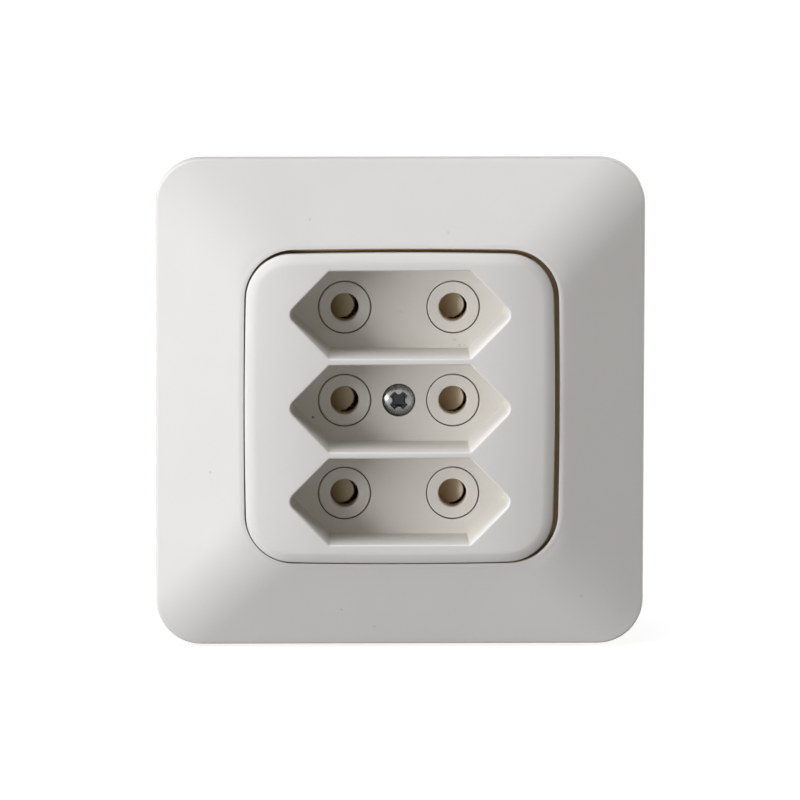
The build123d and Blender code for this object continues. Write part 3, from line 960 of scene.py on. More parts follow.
@dataclass
class ContactCover:
    """The insulating cover behind the plate, whose six collars stand in the plate's holes.

    Attributes:
        corner_r: Radius of the cover's corners.
        back: Height of its rear side.
        front: Height of its front.
        collar_top: Height of the collars.
        collar_r: Outer radius of a collar.
        collar_edge_r: Rounding of its outer edge.
        hole_r: Radius of a pin hole.
        hole_edge_r: Rounding of the hole's mouth.
        boss_hole_r: Radius of the hole for the plate's screw boss.
        pin_x: Distance of the pin holes from the middle.
        edge_steps: Steps round an edge of a collar.
        side_steps: Steps along each side of the cover.
        corner_steps: Steps round each of its corners.
    """

    corner_r: float = 4.0
    back: float = -2.3
    front: float = -1.0
    collar_top: float = 0.8
    collar_r: float = 4.5
    collar_edge_r: float = 0.18
    hole_r: float = 2.475
    hole_edge_r: float = 0.28
    boss_hole_r: float = 4.6
    pin_x: float = 9.5
    edge_steps: int = 5
    side_steps: int = 2
    corner_steps: int = 10

    def collar_profile(self) -> Array:
        """Give a collar's section: outer wall, quarter-circle edge, flat top, quarter-circle mouth, pin hole.

        Returns:
            Rows of (radius, height).
        """
        turn = quarter(self.edge_steps)
        outer = np.column_stack(
            (
                self.collar_r - self.collar_edge_r * (1 - np.cos(turn)),
                self.collar_top - self.collar_edge_r * (1 - np.sin(turn)),
            )
        )
        mouth = np.column_stack(
            (
                self.hole_r + self.hole_edge_r * (1 - np.sin(turn)),
                self.collar_top - self.hole_edge_r * (1 - np.cos(turn)),
            )
        )
        return np.vstack(((self.collar_r, self.front), outer, mouth, (self.hole_r, self.back)))

    def build(self, finish: Material) -> bpy.types.Object:
        """Make the cover as one closed shell.

        Args:
            finish: Its material.

        Returns:
            The new object.
        """
        low, high = box_mm("contact_cover")
        corners = np.array(((high[0], low[2]), (high[0], high[2]), (low[0], high[2]), (low[0], low[2])))
        radii = np.full(len(corners), self.corner_r)
        outline, _ = rounded_path(corners, radii, self.side_steps, self.corner_steps)
        shell = Shell()
        shell.strip(np.stack((at_height(outline, self.back), at_height(outline, self.front))))
        boss = lathe(np.array(((self.boss_hole_r, self.back), (self.boss_hole_r, self.front))))
        shell.strip(boss)
        holes_back, holes_front = [boss[0]], [boss[1]]
        for row in ROWS:
            for side in Side:
                collar = lathe(self.collar_profile(), (side.value * self.pin_x, row))
                shell.strip(collar)
                holes_front.append(collar[0])
                holes_back.append(collar[-1])
        shell.fill(at_height(outline, self.back), holes_back)
        shell.fill(at_height(outline, self.front), holes_front)
        return shell.build("collar_moulding", finish, Slot.WHITE, "contact_cover")


@dataclass
class NoseRounds:
    """The rounded ends of the shutters' noses, which show in the pin holes.

    Attributes:
        spacing: Distance between the two blades of a shutter.
        nose_r: Radius of a nose.
        nose_reach: How far it stands out from its blade's middle.
        top: Height of its highest edge.
        ramp_slope: Rise of its ramp towards that edge.
        sunk: How far the round lies below the ramp where it starts.
        overhang: How far the round stands out from the nose.
        fall: Height over which it rounds off.
        bottom: Height of its lower end.
        inner_r: Radius of its hidden inner side.
        half_turn_deg: How far it runs round the nose to either side.
        steps: Steps round the nose.
        fall_steps: Steps over which it rounds off.
    """

    spacing: float = 19.3
    nose_r: float = 2.38
    nose_reach: float = 1.7
    top: float = -2.45
    ramp_slope: float = 0.494
    sunk: float = 0.02
    overhang: float = 0.27
    fall: float = 0.8
    bottom: float = -5.0
    inner_r: float = 2.1
    half_turn_deg: float = 80.0
    steps: int = 32
    fall_steps: int = 8

    def section(self, angle: float) -> Array:
        """Give the closed section at an angle: ramp, quarter ellipse, outer wall and hidden sides.

        The round stands out by the overhang times the squared cosine of an angle that is a quarter turn at
        either end.

        Args:
            angle: Angle from the nose's tip, in radians.

        Returns:
            Rows of (radius, height).
        """
        stand = self.overhang * math.cos(angle * 90.0 / self.half_turn_deg) ** 2
        turn = quarter(self.fall_steps)
        radius = np.concatenate(((self.inner_r,), self.nose_r + stand * np.sin(turn)))
        along = self.nose_reach - self.nose_r + np.minimum(radius, self.nose_r) * math.cos(angle)
        ramp = self.top - self.sunk - self.ramp_slope * (self.nose_reach - along)
        drop = np.concatenate(((0.0,), self.fall * (1 - np.cos(turn))))
        ends = ((radius[-1], self.bottom), (self.inner_r, self.bottom))
        return np.vstack((np.column_stack((radius, ramp - drop)), ends))

    def add_to(self, shell: Shell, middle: float, row: float) -> None:
        """Add the round of one nose to a shell.

        Args:
            shell: The shell.
            middle: Place of the blade's middle, sideways.
            row: Height of the blade's middle on the plate.
        """
        centre = middle + self.nose_reach - self.nose_r
        limit = math.radians(self.half_turn_deg)
        rings = []
        for angle in np.linspace(-limit, limit, self.steps + 1):
            radius, height = self.section(angle).T
            rings.append(
                np.column_stack((centre + radius * math.cos(angle), height, row + radius * math.sin(angle)))
            )
        shell.strip(np.stack(rings))
        shell.cap(rings[0])
        shell.cap(rings[-1])

    def build(self, finish: Material) -> None:
        """Make the rounds of all shutters, one piece to a shutter.

        Args:
            finish: Their material.
        """
        for name, row in zip(ROW_NAMES, ROWS):
            shell = Shell()
            for side in Side:
                self.add_to(shell, side.value * self.spacing / 2, row)
            shell.build(f"nose_rounds_{name}", finish, Slot.SHUTTER, body=f"shutter_{name}_body")


class Facing(Enum):
    """Where a screw's head faces: two directions across it and its axis, each as (x, height, z)."""

    FRONT = ((1, 0, 0), (0, 0, 1), (0, 1, 0))
    RIGHT = ((0, 1, 0), (0, 0, 1), (1, 0, 0))
    LEFT = ((0, 1, 0), (0, 0, 1), (-1, 0, 0))


@dataclass
class Screw:
    """A screw with a domed head and a cut thread. The kinds of drive are the classes below.

    Attributes:
        seat: Middle of the head's underside, as (x, height, z).
        length: Length below the head.
        head_r: Radius of the head.
        head_height: Height of the head.
        edge_r: Rounding of the head's edge.
        dome: Rise of the head's middle.
        shank_r: Outer radius of the thread.
        pitch: Rise of the thread in one turn.
        thread_depth: Depth of the thread.
        facing: Where the head faces.
        steps: Points round each ring.
        middle_share: Radius of the innermost ring, as a share of the head's.
        dome_share: Share of the head's radius up to which its rings are evenly spaced.
        dome_rings: Number of those rings.
        edge_turn: Angle whose sine is the share at which the rings towards the edge start, in radians.
        edge_steps: Steps from there to the edge.
        thread_rings: Rings in one pitch of the thread.
    """

    seat: tuple[float, float, float]
    length: float
    head_r: float = 2.7
    head_height: float = 2.0
    edge_r: float = 0.5
    dome: float = 0.12
    shank_r: float = 1.5
    pitch: float = 0.5
    thread_depth: float = 0.16
    facing: Facing = Facing.FRONT
    steps: int = 192
    middle_share: float = 0.011
    dome_share: float = 0.7
    dome_rings: int = 48
    edge_turn: float = 0.79
    edge_steps: int = 14
    thread_rings: int = 6

    def drive(self, across: Array, along: Array) -> Array:
        """Give the depth of the drive's recess over the head."""
        raise NotImplementedError

    def placed(self, radius: Array, angle: Array, level: Array) -> Array:
        """Turn polar places and levels above the seat into rows of (x, height, z)."""
        local = np.broadcast_arrays(radius * np.cos(angle), radius * np.sin(angle), level)
        return np.array(self.seat) + np.stack(local, axis=-1) @ np.array(self.facing.value, dtype=float)

    def head_level(self, radius: Array, angle: Array) -> Array:
        """Give the head's level above the seat: a dome with a round edge, less the drive's recess.

        The dome falls with the squared radius, and the edge adds the fall of a quarter ellipse.

        Args:
            radius: Distances from the axis.
            angle: Angles round it.

        Returns:
            Levels over the grid of both.
        """
        over = np.clip((radius - self.head_r + self.edge_r) / self.edge_r, 0.0, 1.0)
        level = self.head_height - self.dome * (radius / self.head_r) ** 2
        level = level - (self.edge_r - self.dome) * (1 - np.sqrt(1 - over**2))
        depth = self.drive(radius * np.cos(angle), radius * np.sin(angle))
        return np.minimum(level, self.head_height - depth)

    def thread_radius(self, level: Array, angle: Array) -> Array:
        """Give the shank's radius: a triangle wave that climbs one pitch in a turn and fades at both ends.

        Args:
            level: Levels below the seat, as negative numbers.
            angle: Angles round the axis.

        Returns:
            Radii over the grid of both.
        """
        wave = np.abs(2 * np.mod(level / self.pitch + angle / (2 * math.pi), 1.0) - 1)
        fade = np.clip(np.minimum(-level, level + self.length) / self.pitch, 0.0, 1.0)
        return self.shank_r - self.thread_depth * wave * fade

    def add_to(self, shell: Shell) -> None:
        """Add the screw's closed skin to a shell.

        Args:
            shell: The shell.
        """
        angle = (np.arange(self.steps) * (2 * math.pi / self.steps))[None, :]
        dome = np.linspace(self.middle_share, self.dome_share, self.dome_rings)
        edge = np.sin(quarter(self.edge_steps, self.edge_turn))
        radius = (self.head_r * np.concatenate((dome, edge)))[:, None]
        rings = int(self.length / self.pitch * self.thread_rings)
        level = np.linspace(0.0, -self.length, rings)[:, None]
        head = self.placed(radius, angle, self.head_level(radius, angle))
        seat = self.placed(np.array([[self.head_r], [self.shank_r]]), angle, np.zeros((2, 1)))
        thread = self.placed(self.thread_radius(level, angle), angle, level)
        shell.cap(head[0])
        shell.strip(np.concatenate((head, seat, thread[1:])))
        shell.cap(thread[-1])


@dataclass
class CrossScrew(Screw):
    """A screw with a cross recess turned to a diagonal.

    Attributes:
        arm_reach: Length of an arm from the middle.
        arm_half: Half width of an arm.
        arm_depth: Depth of the recess.
        heart_half: Half width of the deep middle.
        heart_inner: Distance where the middle starts to climb, over its half width.
        heart_outer: Distance where it has ended, over its half width.
        arm_blur: Half width of an arm's sides.
        end_blur: Length of an arm's end.
        arm_climb: How much shallower an arm gets towards its end, as a share of its depth.
    """

    arm_reach: float = 1.72
    arm_half: float = 0.58
    arm_depth: float = 1.5
    heart_half: float = 0.95
    heart_inner: float = 1.35
    heart_outer: float = 1.75
    arm_blur: float = 0.06
    end_blur: float = 0.22
    arm_climb: float = 0.35

    def drive(self, across: Array, along: Array) -> Array:
        """Give the depth of the cross: two arms that get shallower outwards and a deep middle.

        Args:
            across: Places over the head, sideways.
            along: Places over the head, upwards.

        Returns:
            Depths below the head's top.
        """
        first, second = np.abs(across + along) / math.sqrt(2), np.abs(across - along) / math.sqrt(2)
        longer, shorter = np.maximum(first, second), np.minimum(first, second)
        arm = 1 - smooth_step(shorter, self.arm_half - self.arm_blur, self.arm_half + self.arm_blur)
        arm = arm * (1 - smooth_step(longer, self.arm_reach - self.end_blur, self.arm_reach))
        heart = 1 - smooth_step(
            first + second, self.heart_inner * self.heart_half, self.heart_outer * self.heart_half
        )
        return self.arm_depth * np.maximum(arm * (1 - self.arm_climb * longer / self.arm_reach), heart)


@dataclass
class SlotScrew(Screw):
    """A screw with a straight slot across its head.

    Attributes:
        slot_half: Half width of the slot.
        slot_depth: Depth of the slot.
        slot_deg: Turn of the slot.
        slot_blur: Half width of the slot's sides.
    """

    slot_half: float = 0.4
    slot_depth: float = 0.8
    slot_deg: float = 0.0
    slot_blur: float = 0.04

    def drive(self, across: Array, along: Array) -> Array:
        """Give the depth of the slot, by the distance from its middle line and a steep smooth step.

        Args:
            across: Places over the head, sideways.
            along: Places over the head, upwards.

        Returns:
            Depths below the head's top.
        """
        turn = math.radians(self.slot_deg)
        off = np.abs(along * math.cos(turn) - across * math.sin(turn))
        side = smooth_step(off, self.slot_half - self.slot_blur, self.slot_half + self.slot_blur)
        return self.slot_depth * (1 - side)


@dataclass
class Fasteners:
    """The centre screw, two claw screws and two terminal screws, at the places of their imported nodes.

    Attributes:
        centre_seat: Height on which the centre screw's head lies.
        centre_length: Its length below the head.
        centre_head_r: Radius of its head.
        ring_front: Height of the support ring's front, on which the claw screws' heads lie.
        claw_screw_length: Their length below the head.
        terminal_head_height: Height of the terminal screws' heads.
        terminal_length: Their length below the head.
        terminal_slot_deg: Turn of their slots.
        centre_edge_r: Rounding of the centre screw's head.
        centre_dome: Rise of its middle.
        claw_head_height: Height of the claw screws' heads.
        claw_edge_r: Rounding of those heads.
        claw_steps: Points round a claw screw.
        terminal_edge_r: Rounding of the terminal screws' heads.
        terminal_shank_r: Radius of their threads.
        terminal_steps: Points round a terminal screw.
    """

    centre_seat: float = -0.7
    centre_length: float = 16.0
    centre_head_r: float = 2.82
    ring_front: float = 1.0
    claw_screw_length: float = 21.0
    terminal_head_height: float = 1.6
    terminal_length: float = 1.7
    terminal_slot_deg: float = 30.0
    centre_edge_r: float = 1.0
    centre_dome: float = 0.7
    claw_head_height: float = 1.8
    claw_edge_r: float = 0.4
    claw_steps: int = 120
    terminal_edge_r: float = 0.3
    terminal_shank_r: float = 1.3
    terminal_steps: int = 96

    def build(self, shaded_screw_finish: Material, plain: Material) -> None:
        """Make all screws.

        Args:
            shaded_screw_finish: Material of the centre screw, a darker zinc that paints a dark reflection.
            plain: Material of the others.
        """
        self.centre_screw().build("pan_head_screw", shaded_screw_finish, Slot.ZINC, "centre_screw")
        self.claw_screws().build("claw_screw_pair", plain, Slot.ZINC, "claw_screws")
        self.terminal_screws().build("terminal_screw_pair", plain, Slot.ZINC, "terminal_screws")

    def centre_screw(self) -> Shell:
        """Give the centre screw, whose head lies in the plate's well.

        Returns:
            A shell with the screw.
        """
        shell = Shell()
        CrossScrew(
            (0.0, self.centre_seat, 0.0),
            self.centre_length,
            head_r=self.centre_head_r,
            edge_r=self.centre_edge_r,
            dome=self.centre_dome,
        ).add_to(shell)
        return shell

    def claw_screws(self) -> Shell:
        """Give the two claw screws, whose heads lie on the support ring.

        Returns:
            A shell with both screws.
        """
        _, high = box_mm("claw_screws")
        shell = Shell()
        for side in Side:
            SlotScrew(
                (side.value * (high[0] - SlotScrew.head_r), self.ring_front, 0.0),
                self.claw_screw_length,
                head_height=self.claw_head_height,
                edge_r=self.claw_edge_r,
                steps=self.claw_steps,
            ).add_to(shell)
        return shell

    def terminal_screws(self) -> Shell:
        """Give the two terminal screws, whose heads face left and right.

        Returns:
            A shell with both screws.
        """
        low, high = box_mm("terminal_screws")
        middle = (low + high) / 2
        shell = Shell()
        for side, facing in ((Side.LEFT, Facing.LEFT), (Side.RIGHT, Facing.RIGHT)):
            SlotScrew(
                (side.value * (high[0] - self.terminal_head_height), middle[1], middle[2]),
                self.terminal_length,
                head_r=(high[2] - low[2]) / 2,
                head_height=self.terminal_head_height,
                edge_r=self.terminal_edge_r,
                shank_r=self.terminal_shank_r,
                facing=facing,
                steps=self.terminal_steps,
                slot_deg=self.terminal_slot_deg,
            ).add_to(shell)
        return shell


class NodeTree:
    """A material's node tree, with short calls for the nodes that the finishes share."""

    def __init__(self, name: str) -> None:
        """Start a material with a principled shader.

        Args:
            name: Name of the material.
        """
        self.material = bpy.data.materials.new(name)
        self.material.use_nodes = True
        self.nodes = self.material.node_tree.nodes
        self.links = self.material.node_tree.links
        self.shader = self.nodes["Principled BSDF"]
        self.coordinates = self.nodes.new("ShaderNodeTexCoord").outputs["Object"]

    def noise(self, scale: float, detail: float = 3.0) -> Value:
        """Give a noise pattern.

        Args:
            scale: Cycles in a metre.
            detail: Layers of finer noise.

        Returns:
            The pattern, from 0 to 1.
        """
        node = self.nodes.new("ShaderNodeTexNoise")
        node.inputs["Scale"].default_value = scale
        node.inputs["Detail"].default_value = detail
        self.links.new(self.coordinates, node.inputs["Vector"])
        return node.outputs["Fac"]

    def remap(self, value: Value, source: Span, target: Span = (0.0, 1.0)) -> Value:
        """Map a value from one span to another by a smooth step, and keep it within the ends.

        Args:
            value: The value.
            source: Ends of its own span.
            target: What those ends become.

        Returns:
            The mapped value.
        """
        node = self.nodes.new("ShaderNodeMapRange")
        node.interpolation_type = "SMOOTHSTEP"
        self.links.new(value, node.inputs["Value"])
        node.inputs["From Min"].default_value, node.inputs["From Max"].default_value = source
        node.inputs["To Min"].default_value, node.inputs["To Max"].default_value = target
        return node.outputs["Result"]

    def mix(self, factor: Value, first: Paint, second: Paint) -> Value:
        """Mix two colours.

        Args:
            factor: Share of the second colour.
            first: A socket or a plain colour.
            second: A socket or a plain colour.

        Returns:
            The mixed colour.
        """
        node = self.nodes.new("ShaderNodeMix")
        node.data_type = "RGBA"
        self.links.new(factor, node.inputs["Factor"])
        for name, paint in (("A", first), ("B", second)):
            target = next(s for s in node.inputs if s.name == name and s.type == "RGBA")
            if isinstance(paint, tuple):
                target.default_value = (*paint, 1.0)
            else:
                self.links.new(paint, target)
        return next(s for s in node.outputs if s.type == "RGBA")

    def axis(self, name: str) -> Value:
        """Give one coordinate.

        Args:
            name: X, Y or Z.

        Returns:
            The coordinate in metres.
        """
        node = self.nodes.new("ShaderNodeSeparateXYZ")
        self.links.new(self.coordinates, node.inputs[0])
        return node.outputs[name]

    def depth(self, first: float, last: float) -> Value:
        """Rise from 0 at one height above the wall to 1 at a lower one, both in millimetres."""
        return self.remap(self.axis("Y"), (-first * MM, -last * MM))

    def reach(self) -> Value:
        """Give a distance from the middle that is even along a round-cornered square, in metres.

        It is the eighth root of the sum of x and z, each to the eighth power. That power is taken as a square
        and then a fourth power, so that signs drop out first.
        """
        powers = [self.power(self.power(self.axis(name), 2.0), 4.0) for name in ("X", "Z")]
        return self.power(self.combine("ADD", *powers), 0.125)

    def power(self, value: Value, exponent: float) -> Value:
        """Raise a value to a power.

        Args:
            value: The value.
            exponent: The power.

        Returns:
            The result.
        """
        node = self.nodes.new("ShaderNodeMath")
        node.operation = "POWER"
        self.links.new(value, node.inputs[0])
        node.inputs[1].default_value = exponent
        return node.outputs[0]

    def combine(self, operation: str, first: Value, second: Value) -> Value:
        """Join two values.

        Args:
            operation: Name of the operation.
            first: The first value.
            second: The second value.

        Returns:
            The result.
        """
        node = self.nodes.new("ShaderNodeMath")
        node.operation = operation
        self.links.new(first, node.inputs[0])
        self.links.new(second, node.inputs[1])
        return node.outputs[0]

    def plan_distance(self, place: Place) -> Value:
        """Give the distance over the plan to a place, where heights count for nothing.

        Args:
            place: The place, (x, z) in millimetres.

        Returns:
            The distance in metres.
        """
        flat = self.nodes.new("ShaderNodeVectorMath")
        flat.operation = "MULTIPLY"
        self.links.new(self.coordinates, flat.inputs[0])
        flat.inputs[1].default_value = (1.0, 0.0, 1.0)
        node = self.nodes.new("ShaderNodeVectorMath")
        node.operation = "DISTANCE"
        self.links.new(flat.outputs[0], node.inputs[0])
        node.inputs[1].default_value = (place[0] * MM, 0.0, place[1] * MM)
        return node.outputs["Value"]

    def finish(self, colour: Value, roughness: Value, grain: Value, strength: float) -> Material:
        """Link a colour, a roughness and a fine grain to the shader.

        Args:
            colour: The colour.
            roughness: The roughness.
            grain: Height pattern of the grain.
            strength: How much the grain shows.

        Returns:
            The material.
        """
        self.links.new(colour, self.shader.inputs["Base Color"])
        self.links.new(roughness, self.shader.inputs["Roughness"])
        node = self.nodes.new("ShaderNodeBump")
        node.inputs["Strength"].default_value = strength
        node.inputs["Distance"].default_value = GRAIN_HEIGHT
        self.links.new(grain, node.inputs["Height"])
        self.links.new(node.outputs["Normal"], self.shader.inputs["Normal"])
        return self.material


@dataclass(frozen=True)
class Speck:
    """A small dark stain on the front.

    Attributes:
        place: Its place over the plan, (x, z) in millimetres.
        radius: Its radius in millimetres.
        strength: How much it covers, from 0 to 1.
        core: Share of the radius within which it is even.
        colour: Its colour, linear.
    """

    place: Place
    radius: float
    strength: float
    core: float = 0.4
    colour: Colour = (0.16, 0.14, 0.11)

    def mask(self, tree: NodeTree) -> Value:
        """Give how much the speck covers: even in its core and fading to its rim."""
        radius = self.radius * MM
        return tree.remap(tree.plan_distance(self.place), (radius * self.core, radius), (self.strength, 0.0))


@dataclass(frozen=True)
class PaintedShade:
    """Painted shade: a darker colour that lies below a height, in a band of distances from the middle.

    Attributes:
        colour: Its colour, linear.
        start: Height in millimetres where it starts.
        full: Height where it is full.
        within: Distance in millimetres beyond which there is none.
        beyond: Distance within which there is none.
        blur: Half width of the band's edges.
    """

    colour: Colour
    start: float
    full: float
    within: Optional[float] = None
    beyond: Optional[float] = None
    blur: float = 0.05

    def mask(self, tree: NodeTree) -> Value:
        """Give how much the painted shade covers: its rise with depth, times the band's soft edges.

        Args:
            tree: Node tree of the shaded material.

        Returns:
            A factor from 0 to 1.
        """
        mask = tree.depth(self.start, self.full)
        for edge, ends in ((self.within, (1.0, 0.0)), (self.beyond, (0.0, 1.0))):
            if edge is not None:
                band = ((edge - self.blur) * MM, (edge + self.blur) * MM)
                mask = tree.combine("MULTIPLY", mask, tree.remap(tree.reach(), band, ends))
        return mask


@dataclass(frozen=True)
class Moulding:
    """Moulded plastic: a base colour with slow tone changes, a fine grain, painted shade in gaps and depths,
    and small dark stains.

    Attributes:
        name: Name of the material.
        colour: Base colour, linear.
        painted_shades: Layers of painted shade, a darker colour below a height, in gaps and depths.
        patina: Warmer tone of surfaces that lie back from the front, linear.
        patina_from: Height where that tone starts.
        patina_to: Height where it is full.
        roughness: Middle roughness.
        grain: Strength of the fine grain.
        specks: Small dark stains.
        tone_scale: Cycles of the tone changes in a metre.
        tone_share: Darkest tone over the base colour.
        gloss_scale: Cycles of the changes in roughness in a metre.
        gloss_change: How far the roughness changes to either side.
        grain_scale: Cycles of the grain in a metre.
    """

    name: str
    colour: Colour
    painted_shades: tuple[PaintedShade, ...] = ()
    patina: Optional[Colour] = None
    patina_from: float = 0.0
    patina_to: float = 0.0
    roughness: float = 0.55
    grain: float = 0.05
    specks: tuple[Speck, ...] = ()
    tone_scale: float = 60.0
    tone_share: float = 0.975
    gloss_scale: float = 240.0
    gloss_change: float = 0.05
    grain_scale: float = 5200.0

    def make(self) -> Material:
        """Build the material.

        Returns:
            The new material.
        """
        tree = NodeTree(self.name)
        tone = tree.remap(tree.noise(self.tone_scale), NOISE_SPAN)
        colour = tree.mix(tone, tuple(c * self.tone_share for c in self.colour), self.colour)
        if self.patina is not None:
            colour = tree.mix(tree.depth(self.patina_from, self.patina_to), colour, self.patina)
        # Mix in the painted shades in gaps and depths, then the small dark stains.
        for shade_and_speck in (*self.painted_shades, *self.specks):
            colour = tree.mix(shade_and_speck.mask(tree), colour, shade_and_speck.colour)
        ends = (self.roughness - self.gloss_change, self.roughness + self.gloss_change)
        gloss = tree.remap(tree.noise(self.gloss_scale), NOISE_SPAN, ends)
        return tree.finish(colour, gloss, tree.noise(self.grain_scale, GRAIN_DETAIL), self.grain)


@dataclass(frozen=True)
class Plated:
    """Bare or plated metal with fine blotches, a drawn grain, and painted shade below a height where one is
    given.

    Attributes:
        name: Name of the material.
        colour: Base colour, linear.
        shade: Colour of the blotches, linear.
        roughness: Usual roughness.
        low_shade_from: Height in millimetres below which painted shade darkens the metal.
        low_shade_depth: Depth over which it darkens.
        low_shade: Colour of that painted shade, linear.
        blotch_scale: Cycles of the blotches in a metre.
        blotch_detail: Layers of the blotches.
        gloss_scale: Cycles of the changes in roughness in a metre.
        gloss_change: How far the roughness changes, downwards and upwards.
        grain_scale: Cycles of the grain in a metre.
        grain: Strength of the grain.
    """

    name: str
    colour: Colour
    shade: Colour
    roughness: float = 0.3
    low_shade_from: Optional[float] = None
    low_shade_depth: float = 0.35
    low_shade: Colour = (0.035, 0.037, 0.038)
    blotch_scale: float = 420.0
    blotch_detail: float = 4.0
    gloss_scale: float = 1600.0
    gloss_change: Span = (-0.07, 0.09)
    grain_scale: float = 3800.0
    grain: float = 0.05

    def make(self) -> Material:
        """Build the material.

        Returns:
            The new material.
        """
        tree = NodeTree(self.name)
        tree.shader.inputs["Metallic"].default_value = 1.0
        blotch = tree.remap(tree.noise(self.blotch_scale, self.blotch_detail), BLOTCH_SPAN)
        colour = tree.mix(blotch, self.colour, self.shade)
        # Painted shade: darker below a height, as in a screw's drive.
        if self.low_shade_from is not None:
            colour = tree.mix(tree.depth(self.low_shade_from, self.low_shade_from - self.low_shade_depth), colour, self.low_shade)
        ends = (self.roughness + self.gloss_change[0], self.roughness + self.gloss_change[1])
        gloss = tree.remap(tree.noise(self.gloss_scale), NOISE_SPAN, ends)
        return tree.finish(colour, gloss, tree.noise(self.grain_scale, GRAIN_DETAIL), self.grain)


@dataclass
class Finishes:
    """All finishes of the socket.

    Attributes:
        white: The cover frame, with painted shade, a darker brown, down in the gap round the plate.
        plate: The centre plate, warmer in its recesses, with painted shade, a darker brown, round the
            collars, in the screw's well and on the skirt.
        collar: The collars round the pin holes, with painted shade, a darker brown, below their tops.
        shutter: The shutters and their noses, with painted shade, a darker brown, low on their ramps.
        base: The moulded base in the wall box.
        zinc: The support ring, rivets, claws, nut and plain screws.
        screw: The centre screw, in a darker copy of the zinc that paints a dark reflection, with painted
            shade in its drive and round its head's edge.
        spring: The shutter springs.
        brass: The contact rails and terminal blocks.
    """

    white: Moulding = Moulding(
        "white_moulding",
        (0.79, 0.78, 0.76),
        # Painted shade: a darker brown on the frame's inner wall below the lip, in the gap round the plate.
        (PaintedShade((0.62, 0.45, 0.26), 8.0, 7.2, within=28.6),),
        specks=(
            Speck((-33.1, -11.8), 0.32, 0.22),
            Speck((-15.7, 32.8), 0.35, 0.12),
            Speck((8.4, 30.6), 0.35, 0.12),
            Speck((-10.1, -36.5), 0.35, 0.16),
            Speck((-4.3, -39.7), 0.35, 0.14),
            Speck((32.0, -34.1), 0.35, 0.16),
        ),
    )
    plate: Moulding = Moulding(
        "plate_moulding",
        (0.79, 0.78, 0.76),
        (
            # Painted shade: a darker brown below the recess floors, round the collars and in the screw's
            # well.
            PaintedShade((0.50, 0.38, 0.25), 0.6, 0.1, within=26.5),
            # Painted shade: a dark brown on the plate's side wall, in the gap round the plate.
            PaintedShade((0.30, 0.24, 0.17), 8.3, 8.0, beyond=26.9),
        ),
        patina=(0.69, 0.67, 0.622),
        patina_from=9.4,
        patina_to=6.0,
        specks=(
            Speck((-15.05, -3.0), 0.30, 0.9),
            Speck((-11.35, -18.5), 0.28, 0.8),
            Speck((9.8, 10.7), 0.45, 0.16),
            Speck((10.6, 9.7), 0.36, 0.2),
            Speck((11.5, 9.7), 0.36, 0.14),
            Speck((0.3, 15.8), 0.5, 0.08),
            Speck((1.6, 22.1), 0.6, 0.06),
        ),
    )
    collar: Moulding = Moulding(
        # Painted shade: a darker brown below the collars' tops, in the gaps round them and down the pin
        # holes.
        "collar_moulding", (0.71, 0.685, 0.64), (PaintedShade((0.55, 0.42, 0.26), 0.4, -0.8),)
    )
    shutter: Moulding = Moulding(
        # Painted shade: a darker brown low on the shutters' ramps, deep in the pin holes.
        "shutter_moulding", (0.92, 0.84, 0.68), (PaintedShade((0.60, 0.47, 0.30), -2.6, -4.2),), roughness=0.5
    )
    base: Moulding = Moulding("base_moulding", (0.70, 0.62, 0.48), grain=0.12)
    zinc: Plated = Plated("zinc_plate", (0.78, 0.79, 0.81), (0.66, 0.67, 0.69), 0.26)
    # Painted dark reflection: the centre screw is a darker copy of the zinc; painted shade darkens it below a
    # height of 0.5 mm, in its drive and round its head's edge.
    screw: Plated = Plated("screw_zinc_painted_dark", (0.31, 0.317, 0.313), (0.235, 0.24, 0.238), 0.24, 0.5)
    spring: Plated = Plated("spring_strip", (0.62, 0.63, 0.65), (0.52, 0.53, 0.55), 0.3)
    brass: Plated = Plated("contact_brass", (0.80, 0.62, 0.30), (0.70, 0.52, 0.24), 0.28)

    def dress_nodes(self) -> None:
        """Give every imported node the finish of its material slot."""
        by_slot = {
            Slot.WHITE.value: self.white,
            Slot.SHUTTER.value: self.shutter,
            Slot.BASE.value: self.base,
            Slot.ZINC.value: self.zinc,
            Slot.SPRING.value: self.spring,
            Slot.BRASS.value: self.brass,
        }
        made = {slot: finish.make() for slot, finish in by_slot.items()}
        for part in frame["record"]["subparts"]:
            node = frame["nodes"][part["node"]]
            node.data.materials.clear()
            node.data.materials.append(made[part["material_slot"]])
            LOG.info("%s dressed as %s", part["node"], part["material_slot"])


@dataclass(frozen=True)
class Lamp:
    """A broad far lamp.

    Attributes:
        name: Name of the lamp.
        place: Direction from the object to the lamp.
        strength: Light on a surface that faces it, in watts per square metre.
        spread_deg: Angle that the lamp takes up, seen from the object.
        tint: Colour of its light.
    """

    name: str
    place: tuple[float, float, float]
    strength: float
    spread_deg: float
    tint: Colour = (0.987, 0.99, 1.018)

    def source(self) -> bpy.types.Light:
        """Make the light itself, a round one that is very far away.

        Returns:
            The light.
        """
        data = bpy.data.lights.new(self.name, "SUN")
        data.energy = self.strength
        data.angle = math.radians(self.spread_deg)
        return data

    def add(self) -> None:
        """Put the lamp into the scene, turned towards the object."""
        data = self.source()
        data.color = self.tint
        lamp = bpy.data.objects.new(self.name, data)
        bpy.context.scene.collection.objects.link(lamp)
        lamp.location = Vector(self.place) * LAMP_DISTANCE
        lamp.rotation_mode = "QUATERNION"
        lamp.rotation_quaternion = Vector(self.place).to_track_quat("Z", "Y")


